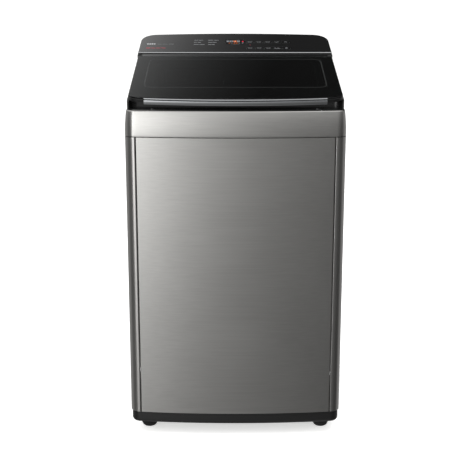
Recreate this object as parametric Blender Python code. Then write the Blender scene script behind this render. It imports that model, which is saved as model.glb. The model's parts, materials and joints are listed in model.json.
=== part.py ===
"""A top load washing machine as an assembly of separate parts.

Metres, +Z up, the front faces -Y. The origin is on the floor under the centre of the machine.
The lid, the glass and the control panel share one plane that rises towards the back. Their parts
are measured along that plane as (x, u, n): u runs up the slope from the lid's hinge line, and n
stands square to it.
"""

import math

import bmesh
import bpy
from mathutils import Vector

# ---------------------------------------------------------------- driving dimensions
WIDTH = 0.540
DEPTH = 0.585
GAP = 0.0003
THROUGH = 0.02  # how far a cutting tool runs past the face it cuts
TOO_HIGH = 1.1  # above everything, the top of the tools that open a part upwards
SHEET = 0.0008
PLASTIC = 0.0030

# heights above the floor
PLINTH_LOW = 0.034
STEEL_LOW = 0.0645
STEEL_HIGH = 0.7815
SKIRT_LOW = 0.7825
SKIRT_HIGH = 0.8465
DECK_LOW = 0.8470

# plan of the cabinet: a bowed front between two rounded corners
BACK_Y = 0.2810
CORNER_RADIUS = 0.026
FRONT_BOW = 0.014
FRONT_HALF = 0.2425
FRONT_RADIUS = (FRONT_HALF**2 + FRONT_BOW**2) / (2 * FRONT_BOW)
FRONT_CENTRE_Y = -DEPTH / 2 + FRONT_RADIUS
CORNER_X = WIDTH / 2 - CORNER_RADIUS
CORNER_Y = FRONT_CENTRE_Y - math.sqrt((FRONT_RADIUS - CORNER_RADIUS) ** 2 - CORNER_X**2)
CORNER_SWING = math.asin(CORNER_X / (FRONT_RADIUS - CORNER_RADIUS))
REAR_CORNER = 0.006
COVER_HALF = 0.180
COVER_Z = (0.155, 0.575)
COVER_CORNER = 0.012

# the sloping top
SLOPE = math.radians(11)
HINGE_Y = 0.083
HINGE_Z = 0.9392
TOP_N = 0.008
DECK_INSET = 0.0065
LEDGE_N = -0.0050
DECK_BACK_Y = 0.0940
CONSOLE_Y = 0.0945

# lid, along the slope
LID_HALF = 0.2613
LID_FRONT_U = -0.3745
LID_LOW_N = -0.0042
LID_SHELF_N = 0.0042
LID_CORNER = 0.028
LID_NOTCH_U = -0.016
BARREL_HALF = 0.2505
BARREL_RADIUS = 0.0078
GLASS_BACK_U = -0.018
WINDOW_HALF = 0.225
WINDOW_U = (-0.283, -0.050)
TRIM_HALF = 0.2206
PIN_RADIUS = 0.003
PIN_END = 0.2620
EAR_GAP = 0.0008

# loading mouth in the deck
MOUTH_HALF = 0.205
MOUTH_Y = (-0.205, 0.055)
MOUTH_CORNER = 0.055
MOUTH_LOW = 0.800
SCOOP_HALF = 0.2585
SCOOP_Y = -0.246
SCOOP_FLOOR = 0.8502
SCOOP_FALL = 0.05

# console
CONSOLE_HALF = 0.2630
CONSOLE_BACK_Y = 0.2826
FLANGE_BACK_Y = 0.2760
CONSOLE_BOW = 0.0112
CONSOLE_CORNER = (0.042, 0.060)
FASCIA_LOW_N = 0.0045
TRIM_WIDTH = 0.0055
KEY_NAMES = (
    ("program_key", "water_level_key", "soak_key", "delay_key", "power_key"),
    ("wash_key", "rinse_key", "spin_key", "start_pause_key", "child_lock_key"),
)
KEY_FIRST_X = 0.042
KEY_PITCH = 0.025
KEY_ROWS_Y = (0.197, 0.1385)
KEY_SIZE = (0.0205, 0.0300)
KEY_LOW_N = 0.0056
KEY_STEM_N = 0.0024
DISPLAY_X = (-0.026, 0.0285)
DISPLAY_Y = (0.176, 0.220)
INLET_X = (0.060, 0.110)
INLET_Z = 0.905
CORD_GLAND = (-0.200, 0.880)

# tub group
TUB_Y = -0.005
TUB_RADIUS = 0.243
TUB_WALL = 0.0035
TUB_LOW = 0.300
TUB_HIGH = 0.755
BASKET_RADIUS = 0.2235
BASKET_LOW = 0.325
RING_LOW = 0.700
RING_HIGH = 0.745
RING_INNER = 0.188
COVER_INNER = 0.192
COVER_HIGH = 0.772
ROD_OFFSET = 0.210
ROD_RADIUS = 0.004
ROD_HOLE = 0.0056
LUG_LOW = 0.452
SPRING_LOW = 0.3725
SPRING_COILS = 6
HANGER_Z = 0.762
MOTOR_X = 0.135
PULLEY_LOW = 0.118
PULLEY_HIGH = 0.138
CLUTCH_PULLEY_RADIUS = 0.066
MOTOR_PULLEY_RADIUS = 0.022
GROOVE_DEPTH = 0.006
BELT_GAP = 0.0012
DRAIN = Vector((-0.120, 0.105, 0.262))
OUTLET_X = -0.215
OUTLET_Z = 0.130
OUTLET_RADIUS = 0.016
NOSE_END_Y = 0.1500
SPIGOT_START_Y = 0.2500

# detergent drawer
DRAWER_X = (-0.185, -0.035)
DRAWER_Y = (0.0565, 0.170)
DRAWER_Z = (0.8660, 0.9020)

# feet
FOOT_X = 0.226
FOOT_Y = (-0.2125, 0.220)
FOOT_RADIUS = 0.022
STUD_RADIUS = 0.0055
CLEARANCE = 0.0007  # between a stud or a rod and its hole


# ---------------------------------------------------------------- finishes
def finish(name, hex_colour, roughness, metallic=0.0):
    """A Principled material of one sRGB colour."""
    material = bpy.data.materials.get(name)
    if material:
        return material
    material = bpy.data.materials.new(name)
    material.use_nodes = True
    shader = material.node_tree.nodes["Principled BSDF"]
    channels = [int(hex_colour[i : i + 2], 16) / 255 for i in (0, 2, 4)]
    linear = [c / 12.92 if c <= 0.04045 else ((c + 0.055) / 1.055) ** 2.4 for c in channels]
    shader.inputs["Base Color"].default_value = (*linear, 1.0)
    shader.inputs["Roughness"].default_value = roughness
    shader.inputs["Metallic"].default_value = metallic
    return material


def brushed_steel():
    return finish("brushed_steel", "A9A9A7", 0.34, 1.0)


def galvanised():
    return finish("galvanised_sheet", "9EA2A4", 0.45, 1.0)


def black_plastic():
    return finish("black_plastic", "232323", 0.42)


def gloss_black():
    return finish("gloss_black", "161616", 0.12)


def chrome():
    return finish("chrome_trim", "D5D7D9", 0.12, 1.0)


def smoked_glass():
    return finish("smoked_glass", "2B2E2E", 0.05)


def tub_plastic():
    return finish("tub_plastic", "C9CCCE", 0.5)


def stainless():
    return finish("stainless", "C4C5C6", 0.25, 1.0)


def rubber():
    return finish("rubber", "1E1E1E", 0.85)


# ---------------------------------------------------------------- mesh tools
def add_object(name, bm, material, parent=None, helper=False):
    """Puts a bmesh in the scene as one object, with its faces turned outwards."""
    bmesh.ops.recalc_face_normals(bm, faces=bm.faces)
    mesh = bpy.data.meshes.new(name)
    bm.to_mesh(mesh)
    bm.free()
    mesh.shade_smooth()
    mesh.set_sharp_from_angle(angle=math.radians(35))
    obj = bpy.data.objects.new(name, mesh)
    bpy.context.scene.collection.objects.link(obj)
    if material:
        mesh.materials.append(material)
    obj.parent = parent
    if helper:
        obj.hide_render = True
        obj.display_type = "WIRE"
    return obj


def helper(name, bm, parent=None):
    return add_object(name, bm, None, parent, helper=True)


def boolean(target, tool, operation="DIFFERENCE"):
    modifier = target.modifiers.new(f"{operation.lower()}_{tool.name}", "BOOLEAN")
    modifier.operation = operation
    modifier.solver = "EXACT"
    modifier.object = tool
    return target


def skin(bm, loops, wrap=False, caps=True):
    """Joins equal loops with quads. wrap joins the last loop to the first, caps closes both ends."""
    rows = [[bm.verts.new(point) for point in loop] for loop in loops]
    count = len(rows[0])
    pairs = list(zip(rows, rows[1:]))
    if wrap:
        pairs.append((rows[-1], rows[0]))
    for low, high in pairs:
        for i in range(count):
            j = (i + 1) % count
            bm.faces.new((low[i], low[j], high[j], high[i]))
    if caps and not wrap:
        bm.faces.new(list(reversed(rows[0])))
        bm.faces.new(rows[-1])
    return bm


def prism(outline, low, high):
    """A closed solid on an (x, y) outline from low to high, each a height or a function of (x, y)."""
    low_at = low if callable(low) else lambda x, y: low
    high_at = high if callable(high) else lambda x, y: high
    loops = [[(x, y, z(x, y)) for x, y in outline] for z in (low_at, high_at)]
    return skin(bmesh.new(), loops)


def box(x, y, z):
    """A box from three (low, high) pairs."""
    return prism([(x[0], y[0]), (x[1], y[0]), (x[1], y[1]), (x[0], y[1])], z[0], z[1])


def turned(profile, steps, centre=(0.0, 0.0), closed=False, phase=0.0):
    """Turns (radius, height) points about a vertical axis. A closed profile makes a ring."""
    bm = bmesh.new()
    loops = []
    for radius, height in profile:
        loops.append(
            [
                (
                    centre[0] + radius * math.cos(phase + 2 * math.pi * i / steps),
                    centre[1] + radius * math.sin(phase + 2 * math.pi * i / steps),
                    height,
                )
                for i in range(steps)
            ]
        )
    return skin(bm, loops, wrap=closed)


def rod_along(axis, radius, start, end, centre, steps=16):
    """A round bar along X or Y, from start to end, through the centre of its two other coordinates."""
    loops = []
    for along in (start, end):
        loop = []
        for i in range(steps):
            angle = 2 * math.pi * i / steps
            a, b = radius * math.cos(angle), radius * math.sin(angle)
            if axis == "X":
                loop.append((along, centre[0] + a, centre[1] + b))
            else:
                loop.append((centre[0] + a, along, centre[1] + b))
        loops.append(loop)
    return skin(bmesh.new(), loops)


def drill(target, name, radius, low, high, place, steps=12):
    """A round hole straight down through target, past the heights low and high."""
    tool = turned([(radius, low - THROUGH), (radius, high + THROUGH)], steps, place)
    boolean(target, helper(name, tool))


def plane_z(y, n):
    """Height of the sloping plane that lies n off the hinge plane, at depth y."""
    return HINGE_Z + (y - HINGE_Y) * math.tan(SLOPE) + n / math.cos(SLOPE)


def on_slope(n):
    """The sloping plane as a height function, for a prism's top or bottom."""
    return lambda x, y: plane_z(y, n)


def arc(centre, radius, start, end, steps):
    """Points of an arc, angles measured from -Y towards +X."""
    angles = [start + (end - start) * i / steps for i in range(steps + 1)]
    return [(centre[0] + radius * math.sin(a), centre[1] - radius * math.cos(a)) for a in angles]


def rounded_rectangle(x, y, radius, steps=5):
    """An (x, y) outline with round corners, from two (low, high) pairs."""
    corners = (
        (x[1] - radius, y[0] + radius, 0),
        (x[1] - radius, y[1] - radius, 1),
        (x[0] + radius, y[1] - radius, 2),
        (x[0] + radius, y[0] + radius, 3),
    )
    points = []
    for cx, cy, quarter in corners:
        start = quarter * math.pi / 2
        points += arc((cx, cy), radius, start, start + math.pi / 2, steps)
    return points


# ---------------------------------------------------------------- plan outlines
def front_arc(inset, half, steps):
    """The bowed front between x = -half and x = half."""
    radius = FRONT_RADIUS - inset
    swing = math.asin(half / radius)
    return arc((0, FRONT_CENTRE_Y), radius, -swing, swing, steps)


def right_corner(inset, steps):
    return arc((CORNER_X, CORNER_Y), CORNER_RADIUS - inset, CORNER_SWING, math.pi / 2, steps)


def mirrored(points):
    return [(-x, y) for x, y in reversed(points)]


def cabinet_outline(inset, back_y, rear_corner=REAR_CORNER, front_steps=12, corner_steps=5):
    """The closed plan of the cabinet, moved inwards by inset, with its back at back_y."""
    radius = FRONT_RADIUS - inset
    front = arc((0, FRONT_CENTRE_Y), radius, -CORNER_SWING, CORNER_SWING, front_steps)
    corner = right_corner(inset, corner_steps)[1:]
    half = WIDTH / 2 - inset
    rear = [(half, back_y - rear_corner), (half - rear_corner, back_y)]
    right = corner + rear
    return front + right + mirrored(right)


def scaled(outline, factor):
    return [(x * factor, y * factor) for x, y in outline]


def offset_path(path, distance):
    """The path moved sideways by distance, with mitred corners. Positive moves to its left."""
    moved = []
    for i, point in enumerate(path):
        before = Vector(path[max(i - 1, 0)])
        after = Vector(path[min(i + 1, len(path) - 1)])
        here = Vector(point)
        ways = [(b - a).normalized() for a, b in ((before, here), (here, after)) if (b - a).length > 1e-9]
        normals = [Vector((-way.y, way.x)) for way in ways]
        normal = sum(normals, Vector((0, 0))).normalized()
        reach = distance / max(normal.dot(normals[0]), 0.3)
        moved.append(tuple(here + normal * reach))
    return moved


def sheet_wall(path, low, high, thickness=SHEET):
    """A folded sheet that follows a path in plan, its thickness to the path's left."""
    return prism(path + list(reversed(offset_path(path, thickness))), low, high)


# ---------------------------------------------------------------- cabinet
def make_base_frame():
    """The plastic plinth: an outer band, a floor plate with a large opening, and four foot holes."""
    band = 0.0028
    plate_low, plate_high = 0.052, 0.058
    outer = cabinet_outline(band, BACK_Y)
    inner = cabinet_outline(band + PLASTIC, BACK_Y - PLASTIC)
    opening_share = 0.72
    opening = scaled(inner, opening_share)
    foot_edge = cabinet_outline(band + 0.004, BACK_Y - 0.004)
    high = STEEL_LOW - GAP
    section = (
        (foot_edge, PLINTH_LOW),
        (outer, PLINTH_LOW + 0.005),
        (outer, high),
        (inner, high),
        (inner, plate_high),
        (opening, plate_high),
        (opening, plate_low),
        (inner, plate_low),
        (inner, PLINTH_LOW + 0.001),
    )
    loops = [[(x, y, z) for x, y in outline] for outline, z in section]
    base = add_object("base_frame", skin(bmesh.new(), loops, wrap=True), black_plastic())
    for side in (-1, 1):
        for y in FOOT_Y:
            place = (side * FOOT_X, y)
            drill(base, f"foot_hole_{side}_{y}", STUD_RADIUS + CLEARANCE, plate_low, plate_high, place)
    return base


def make_side_panel(name, side):
    """One side of the steel cabinet: a hem beside the front panel, the round corner, and a rear flange."""
    edge_x, hem, flange = FRONT_HALF + 0.0015, 0.012, 0.016
    edge_y = FRONT_CENTRE_Y - math.sqrt(FRONT_RADIUS**2 - edge_x**2)
    half = WIDTH / 2
    path = [(edge_x, edge_y + hem), (edge_x, edge_y)] + right_corner(0, 8)
    path += [(half, BACK_Y - REAR_CORNER), (half - REAR_CORNER, BACK_Y), (half - flange, BACK_Y)]
    if side < 0:
        path = mirrored(path)
    panel = add_object(name, sheet_wall(path, STEEL_LOW, STEEL_HIGH), brushed_steel())
    for y in (TUB_Y - ROD_OFFSET, TUB_Y + ROD_OFFSET):
        add_hanger_shelf(panel, f"{name}_{y:.3f}", side, y)
    return panel


def add_hanger_shelf(panel, name, side, y):
    """A bracket in the cabinet's corner that a suspension rod hangs from."""
    reach, thickness = 0.018, 0.004
    x = sorted((side * (ROD_OFFSET - reach), side * (WIDTH / 2 - SHEET / 2)))
    shelf = box(x, (y - reach, y + reach), (HANGER_Z, HANGER_Z + thickness))
    boolean(panel, helper(f"{name}_shelf", shelf), "UNION")
    drill(panel, f"{name}_bore", ROD_HOLE, HANGER_Z, HANGER_Z + thickness, (side * ROD_OFFSET, y))


def make_front_panel():
    """The bowed brushed panel with a return flange down each edge."""
    face = front_arc(0, FRONT_HALF, 16)
    flange = 0.010
    path = [(face[0][0], face[0][1] + flange)] + face + [(face[-1][0], face[-1][1] + flange)]
    return add_object("front_panel", sheet_wall(path, STEEL_LOW, STEEL_HIGH), brushed_steel())


def make_back_panel():
    """The flat steel back with a service hole and a hole for the drain spigot."""
    half = WIDTH / 2 - 0.0175
    panel = add_object(
        "back_panel",
        box((-half, half), (BACK_Y - SHEET, BACK_Y), (STEEL_LOW, STEEL_HIGH)),
        galvanised(),
    )
    lap = 0.015
    hole = box(
        (-COVER_HALF + lap, COVER_HALF - lap),
        (BACK_Y - THROUGH, BACK_Y + THROUGH),
        (COVER_Z[0] + lap, COVER_Z[1] - lap),
    )
    boolean(panel, helper("service_hole", hole))
    outlet = (OUTLET_X, OUTLET_Z)
    bore = rod_along("Y", OUTLET_RADIUS + 4 * GAP, BACK_Y - THROUGH, BACK_Y + THROUGH, outlet, 20)
    boolean(panel, helper("outlet_bore", bore))
    return panel


def make_service_cover():
    """The pressed cover over the service hole: a flat rim round a raised tray, all one sheet thick."""
    rim, rise, slant = 0.014, 0.0065, 0.004
    near = BACK_Y + GAP
    levels = (
        (rim + slant + SHEET, near + rise - SHEET),
        (rim + SHEET, near),
        (0.0, near),
        (0.0, near + SHEET),
        (rim, near + SHEET),
        (rim + slant, near + rise),
    )
    loops = []
    for inset, y in levels:
        across = (-COVER_HALF + inset, COVER_HALF - inset)
        outline = rounded_rectangle(across, (COVER_Z[0] + inset, COVER_Z[1] - inset), COVER_CORNER, 3)
        loops.append([(x, y, z) for x, z in outline])
    return add_object("service_cover", skin(bmesh.new(), loops), galvanised())


def make_top_skirt():
    """The silver band over the cabinet. It draws in towards the deck."""
    wall = 0.0015
    levels = ((0.0, SKIRT_LOW), (0.0004, 0.800), (0.0018, 0.825), (0.0047, SKIRT_HIGH))
    loops = [(cabinet_outline(inset, BACK_Y - inset), z) for inset, z in levels]
    loops += [(cabinet_outline(inset + wall, BACK_Y - inset - wall), z) for inset, z in reversed(levels)]
    points = [[(x, y, z) for x, y in outline] for outline, z in loops]
    return add_object("top_skirt", skin(bmesh.new(), points, wrap=True), brushed_steel())


def make_foot(name, x, y, parent=None):
    """A rubber pad moulded on a threaded stud."""
    profile = (
        (0.0145, 0.0),
        (0.0180, 0.0025),
        (FOOT_RADIUS, 0.0135),
        (FOOT_RADIUS, 0.0220),
        (0.0190, 0.0270),
        (STUD_RADIUS, 0.0290),
        (STUD_RADIUS, 0.0760),
    )
    foot = add_object(name, turned(profile, 20), rubber(), parent)
    foot.location = (x, y, 0)
    return foot


# ---------------------------------------------------------------- deck and console
def deck_outline(inset, back_y):
    """The deck's plan: the cabinet's front and sides, cut off square at back_y."""
    corner = right_corner(DECK_INSET + inset, 5)[1:]
    front = arc((0, FRONT_CENTRE_Y), FRONT_RADIUS - DECK_INSET - inset, -CORNER_SWING, CORNER_SWING, 12)
    right = corner + [(WIDTH / 2 - DECK_INSET - inset, back_y)]
    return front + right + mirrored(right)


def mouth_outline(grow):
    return rounded_rectangle(
        (-MOUTH_HALF - grow, MOUTH_HALF + grow),
        (MOUTH_Y[0] - grow, MOUTH_Y[1] + grow),
        MOUTH_CORNER + grow,
    )


def drawer_tunnel(name):
    """The way for the detergent drawer and its housing through the walls behind the mouth."""
    side = 0.0055
    return helper(
        name,
        box(
            (DRAWER_X[0] - side, DRAWER_X[1] + side),
            (MOUTH_Y[1] - 0.030, 0.150),
            (DRAWER_Z[0] - side, DRAWER_Z[1] + side),
        ),
    )


def hinge_clearance(name, half):
    """Room for the lid's barrel to turn."""
    return helper(name, rod_along("X", BARREL_RADIUS + 0.0012, -half, half, (HINGE_Y, HINGE_Z), 24))


def make_top_deck():
    """The black deck: a shell with a sloping ledge, a funnel wall round the mouth and a finger scoop."""
    deck = add_object(
        "top_deck",
        prism(deck_outline(0, DECK_BACK_Y), DECK_LOW, on_slope(LEDGE_N)),
        black_plastic(),
    )
    hollow = helper(
        "deck_hollow",
        prism(
            deck_outline(PLASTIC, DECK_BACK_Y - PLASTIC),
            DECK_LOW - THROUGH,
            on_slope(LEDGE_N - PLASTIC),
        ),
    )
    walls_x = (-SCOOP_HALF - PLASTIC, SCOOP_HALF + PLASTIC)
    scoop_walls = box(walls_x, (-DEPTH, SCOOP_Y + PLASTIC), (DECK_LOW - 2 * THROUGH, TOO_HIGH))
    boolean(hollow, helper("scoop_walls", scoop_walls))
    boolean(deck, hollow)
    funnel = prism(mouth_outline(PLASTIC), MOUTH_LOW, on_slope(LEDGE_N - PLASTIC / 2))
    boolean(deck, helper("mouth_funnel", funnel), "UNION")
    boolean(deck, helper("mouth", prism(mouth_outline(0), MOUTH_LOW - THROUGH, TOO_HIGH)))
    scoop = helper(
        "finger_scoop",
        prism(
            rounded_rectangle((-SCOOP_HALF, SCOOP_HALF), (-DEPTH, SCOOP_Y), 0.020),
            lambda x, y: SCOOP_FLOOR + (y - SCOOP_Y) * SCOOP_FALL,
            TOO_HIGH,
        ),
    )
    boolean(deck, scoop)
    boolean(deck, hinge_clearance("deck_hinge_room", WIDTH / 2))
    trough_floor = HINGE_Z - BARREL_RADIUS - 0.001
    trough = box((-WIDTH / 2, WIDTH / 2), (HINGE_Y, DECK_BACK_Y + THROUGH), (trough_floor, TOO_HIGH))
    boolean(deck, helper("deck_trough", trough))
    boolean(deck, drawer_tunnel("deck_drawer_way"))
    return deck


def console_outline(inset, front_y):
    """The console's plan: square at front_y, large rear corners and a slightly bowed back."""
    half = CONSOLE_HALF - inset
    wide, deep = (size - inset for size in CONSOLE_CORNER)
    back = CONSOLE_BACK_Y - inset
    chord = half - wide
    radius = (chord**2 + CONSOLE_BOW**2) / (2 * CONSOLE_BOW)
    corner_y = back - CONSOLE_BOW - deep
    right = [(half, front_y)]
    for i in range(7):
        angle = math.pi / 2 * i / 6
        right.append((half - wide + wide * math.cos(angle), corner_y + deep * math.sin(angle)))
    swing = math.asin(chord / radius)
    steps = 8
    bow = []
    for i in range(1, steps):
        angle = swing - 2 * swing * i / steps
        bow.append((radius * math.sin(angle), back - radius + radius * math.cos(angle)))
    return right + bow + mirrored(right)


def make_console_housing():
    """The shell behind the lid: a foot flange, two ears for the hinge pins and a window for the board."""
    housing = add_object(
        "console_housing",
        prism(console_outline(0, CONSOLE_Y), DECK_LOW, on_slope(FASCIA_LOW_N - GAP)),
        black_plastic(),
    )
    half = WIDTH / 2 - DECK_INSET
    foot = box((-half, half), (CONSOLE_Y, FLANGE_BACK_Y), (DECK_LOW, DECK_LOW + PLASTIC))
    boolean(housing, helper("console_flange", foot), "UNION")
    inside = console_outline(PLASTIC, CONSOLE_Y + PLASTIC)
    hollow = prism(inside, DECK_LOW - THROUGH, on_slope(FASCIA_LOW_N - GAP - PLASTIC))
    boolean(housing, helper("console_hollow", hollow))
    for side in (-1, 1):
        add_hinge_ear(housing, side)
    hinge = (HINGE_Y, HINGE_Z)
    boolean(housing, helper("ear_bore", rod_along("X", PIN_RADIUS + GAP, -PIN_END, PIN_END, hinge, 16)))
    window = rounded_rectangle((DISPLAY_X[0] - 0.004, 0.1565), (0.1215, 0.2195), 0.004, 2)
    boolean(housing, helper("board_window", prism(window, HINGE_Z - 2 * THROUGH, TOO_HIGH)))
    boolean(housing, hinge_clearance("console_hinge_room", BARREL_HALF + EAR_GAP))
    boolean(housing, drawer_tunnel("console_drawer_way"))
    through_back = (CONSOLE_BACK_Y - 2 * THROUGH, CONSOLE_BACK_Y + 2 * THROUGH)
    for x in INLET_X:
        bore = rod_along("Y", 0.0150, *through_back, (x, INLET_Z), 20)
        boolean(housing, helper(f"inlet_bore_{x}", bore))
    gland = rod_along("Y", 0.0110, CONSOLE_BACK_Y - 0.0086, CONSOLE_BACK_Y + 0.0074, CORD_GLAND, 16)
    boolean(housing, helper("cord_gland", gland), "UNION")
    boolean(housing, helper("cord_gland_bore", rod_along("Y", 0.0040, *through_back, CORD_GLAND, 12)))
    return housing


def add_hinge_ear(housing, side):
    """A rounded lug that reaches forwards over the hinge line."""
    radius, steps = 0.0072, 8
    wall_y = CONSOLE_Y + PLASTIC / 2
    turn = [math.pi / 2 + math.pi * i / steps for i in range(steps + 1)]
    profile = [(HINGE_Y + radius * math.cos(a), HINGE_Z + radius * math.sin(a)) for a in turn]
    profile += [(wall_y, HINGE_Z - 0.0030), (wall_y, HINGE_Z + 0.0060)]
    ear_x = sorted((side * (BARREL_HALF + EAR_GAP), side * CONSOLE_HALF))
    loops = [[(x, y, z) for y, z in profile] for x in ear_x]
    boolean(housing, helper(f"ear_{side}", skin(bmesh.new(), loops)), "UNION")


def key_centres():
    for names, y in zip(KEY_NAMES, KEY_ROWS_Y):
        for column, name in enumerate(names):
            yield name, KEY_FIRST_X + KEY_PITCH * column, y


def key_outline(x, y, grow):
    """A key's plan. Its length is given along the slope, so it is foreshortened here."""
    half_x = KEY_SIZE[0] / 2 + grow
    half_y = (KEY_SIZE[1] / 2) * math.cos(SLOPE) + grow
    return rounded_rectangle((x - half_x, x + half_x), (y - half_y, y + half_y), 0.003 + grow, 2)


def display_outline(grow):
    """The display lens's plan."""
    x = (DISPLAY_X[0] - grow, DISPLAY_X[1] + grow)
    y = (DISPLAY_Y[0] - grow, DISPLAY_Y[1] + grow)
    return rounded_rectangle(x, y, 0.003 + grow, 2)


def make_fascia():
    """The gloss black plate of the control panel, with its trim, lens and keys let into it."""
    fascia = add_object(
        "console_fascia",
        prism(console_outline(0, CONSOLE_Y + TRIM_WIDTH + 2 * GAP), on_slope(FASCIA_LOW_N), on_slope(TOP_N)),
        gloss_black(),
    )
    under = HINGE_Z - 2 * THROUGH
    for name, x, y in key_centres():
        boolean(fascia, helper(f"{name}_hole", prism(key_outline(x, y, 0.0005), under, TOO_HIGH)))
    boolean(fascia, helper("display_hole", prism(display_outline(0.0004), under, TOO_HIGH)))
    trim = rounded_rectangle((-CONSOLE_HALF, CONSOLE_HALF), (CONSOLE_Y, CONSOLE_Y + TRIM_WIDTH), GAP, 1)
    add_object("console_trim", prism(trim, on_slope(FASCIA_LOW_N), on_slope(TOP_N + 0.0004)), chrome())
    lens = prism(display_outline(0), on_slope(FASCIA_LOW_N + GAP), on_slope(TOP_N - 0.0002))
    add_object("display_lens", lens, smoked_glass())
    for name, x, y in key_centres():
        make_key(name, x, y)


def make_key(name, x, y):
    """A key cap with the short stem that presses the board's switch."""
    key = add_object(name, prism(key_outline(x, y, 0), on_slope(KEY_LOW_N), on_slope(TOP_N)), gloss_black())
    half = 0.002
    stem = rounded_rectangle((x - half, x + half), (y - half, y + half), half / 4, 1)
    tool = prism(stem, on_slope(KEY_STEM_N), on_slope(KEY_LOW_N + 0.001))
    boolean(key, helper(f"{name}_stem", tool), "UNION")


def make_control_board():
    """The printed board under the keys, held against the housing, with its relay block."""
    low, high, block_depth = -0.0008, 0.0009, 0.015
    outline = rounded_rectangle((-0.040, 0.1665), (0.1075, 0.2340), 0.004, 2)
    board = add_object(
        "control_board",
        prism(outline, on_slope(low), on_slope(high)),
        finish("board_green", "1F4B33", 0.5),
    )
    relay = rounded_rectangle((0.010, 0.060), (0.130, 0.160), 0.002, 1)
    block = prism(relay, on_slope(low - block_depth), on_slope(low + GAP))
    boolean(board, helper("relay_block", block), "UNION")
    return board


def make_water_inlet():
    """The double water valve inside the console, with two threaded spigots out of the back."""
    radius, bore_radius, back = 0.0132, 0.0080, DEPTH / 2
    body = box((0.040, 0.130), (0.215, 0.2610), (INLET_Z - 0.017, INLET_Z + 0.017))
    valve = add_object("water_inlet_valve", body, tub_plastic())
    for x in INLET_X:
        spigot = rod_along("Y", radius, 0.2500, back, (x, INLET_Z), 20)
        boolean(valve, helper(f"spigot_{x}", spigot), "UNION")
        bore = rod_along("Y", bore_radius, 0.2700, back + THROUGH, (x, INLET_Z), 16)
        boolean(valve, helper(f"spigot_bore_{x}", bore))
    return valve


def make_dispenser():
    """The drawer's housing behind the mouth, and the drawer with two wells."""
    wall = 0.0020
    clear = 0.0015
    x = (DRAWER_X[0] - clear - wall, DRAWER_X[1] + clear + wall)
    z = (DRAWER_Z[0] - clear - wall, DRAWER_Z[1] + clear + wall)
    housing = add_object("dispenser_housing", box(x, (0.0610, DRAWER_Y[1] + 0.012), z), tub_plastic())
    pocket_y = (DRAWER_Y[0] - THROUGH, DRAWER_Y[1] + 0.010)
    pocket = box((x[0] + wall, x[1] - wall), pocket_y, (z[0] + wall, z[1] - wall))
    boolean(housing, helper("dispenser_pocket", pocket))
    drawer = add_object("detergent_drawer", box(DRAWER_X, DRAWER_Y, DRAWER_Z), tub_plastic())
    middle = (DRAWER_X[0] + DRAWER_X[1]) / 2 + 0.020
    for low, high, name in ((DRAWER_X[0], middle, "powder"), (middle, DRAWER_X[1], "softener")):
        well_y = (DRAWER_Y[0] + 3 * wall, DRAWER_Y[1] - wall)
        well = box((low + wall, high - wall), well_y, (DRAWER_Z[0] + wall, DRAWER_Z[1] + THROUGH))
        boolean(drawer, helper(f"{name}_well", well))


def make_lid_damper():
    """The small rotary damper inside the console beside the right hinge."""
    body = rod_along("X", 0.0090, 0.2200, 0.2450, (0.1160, 0.9200), 16)
    return add_object("lid_damper", body, black_plastic())


# ---------------------------------------------------------------- lid
def lid_front(inset, half, steps):
    """The lid's bowed front edge, in (x, u)."""
    radius = FRONT_RADIUS - inset
    swing = math.asin(half / radius)
    return arc((0, LID_FRONT_U + FRONT_RADIUS), radius, -swing, swing, steps)


def lid_outline(inset, back_u):
    """The lid's outline in (x, u): bowed front, rounded front corners, straight sides."""
    half = LID_HALF - inset
    corner = LID_CORNER - inset
    centre_x = LID_HALF - LID_CORNER
    centre_u = LID_FRONT_U + FRONT_RADIUS - math.sqrt((FRONT_RADIUS - LID_CORNER) ** 2 - centre_x**2)
    swing = math.asin(centre_x / (FRONT_RADIUS - LID_CORNER))
    front = arc((0, LID_FRONT_U + FRONT_RADIUS), FRONT_RADIUS - inset, -swing, swing, 12)
    right = arc((centre_x, centre_u), corner, swing, math.pi / 2, 5)[1:] + [(half, back_u)]
    return front + right + mirrored(right)


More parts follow.
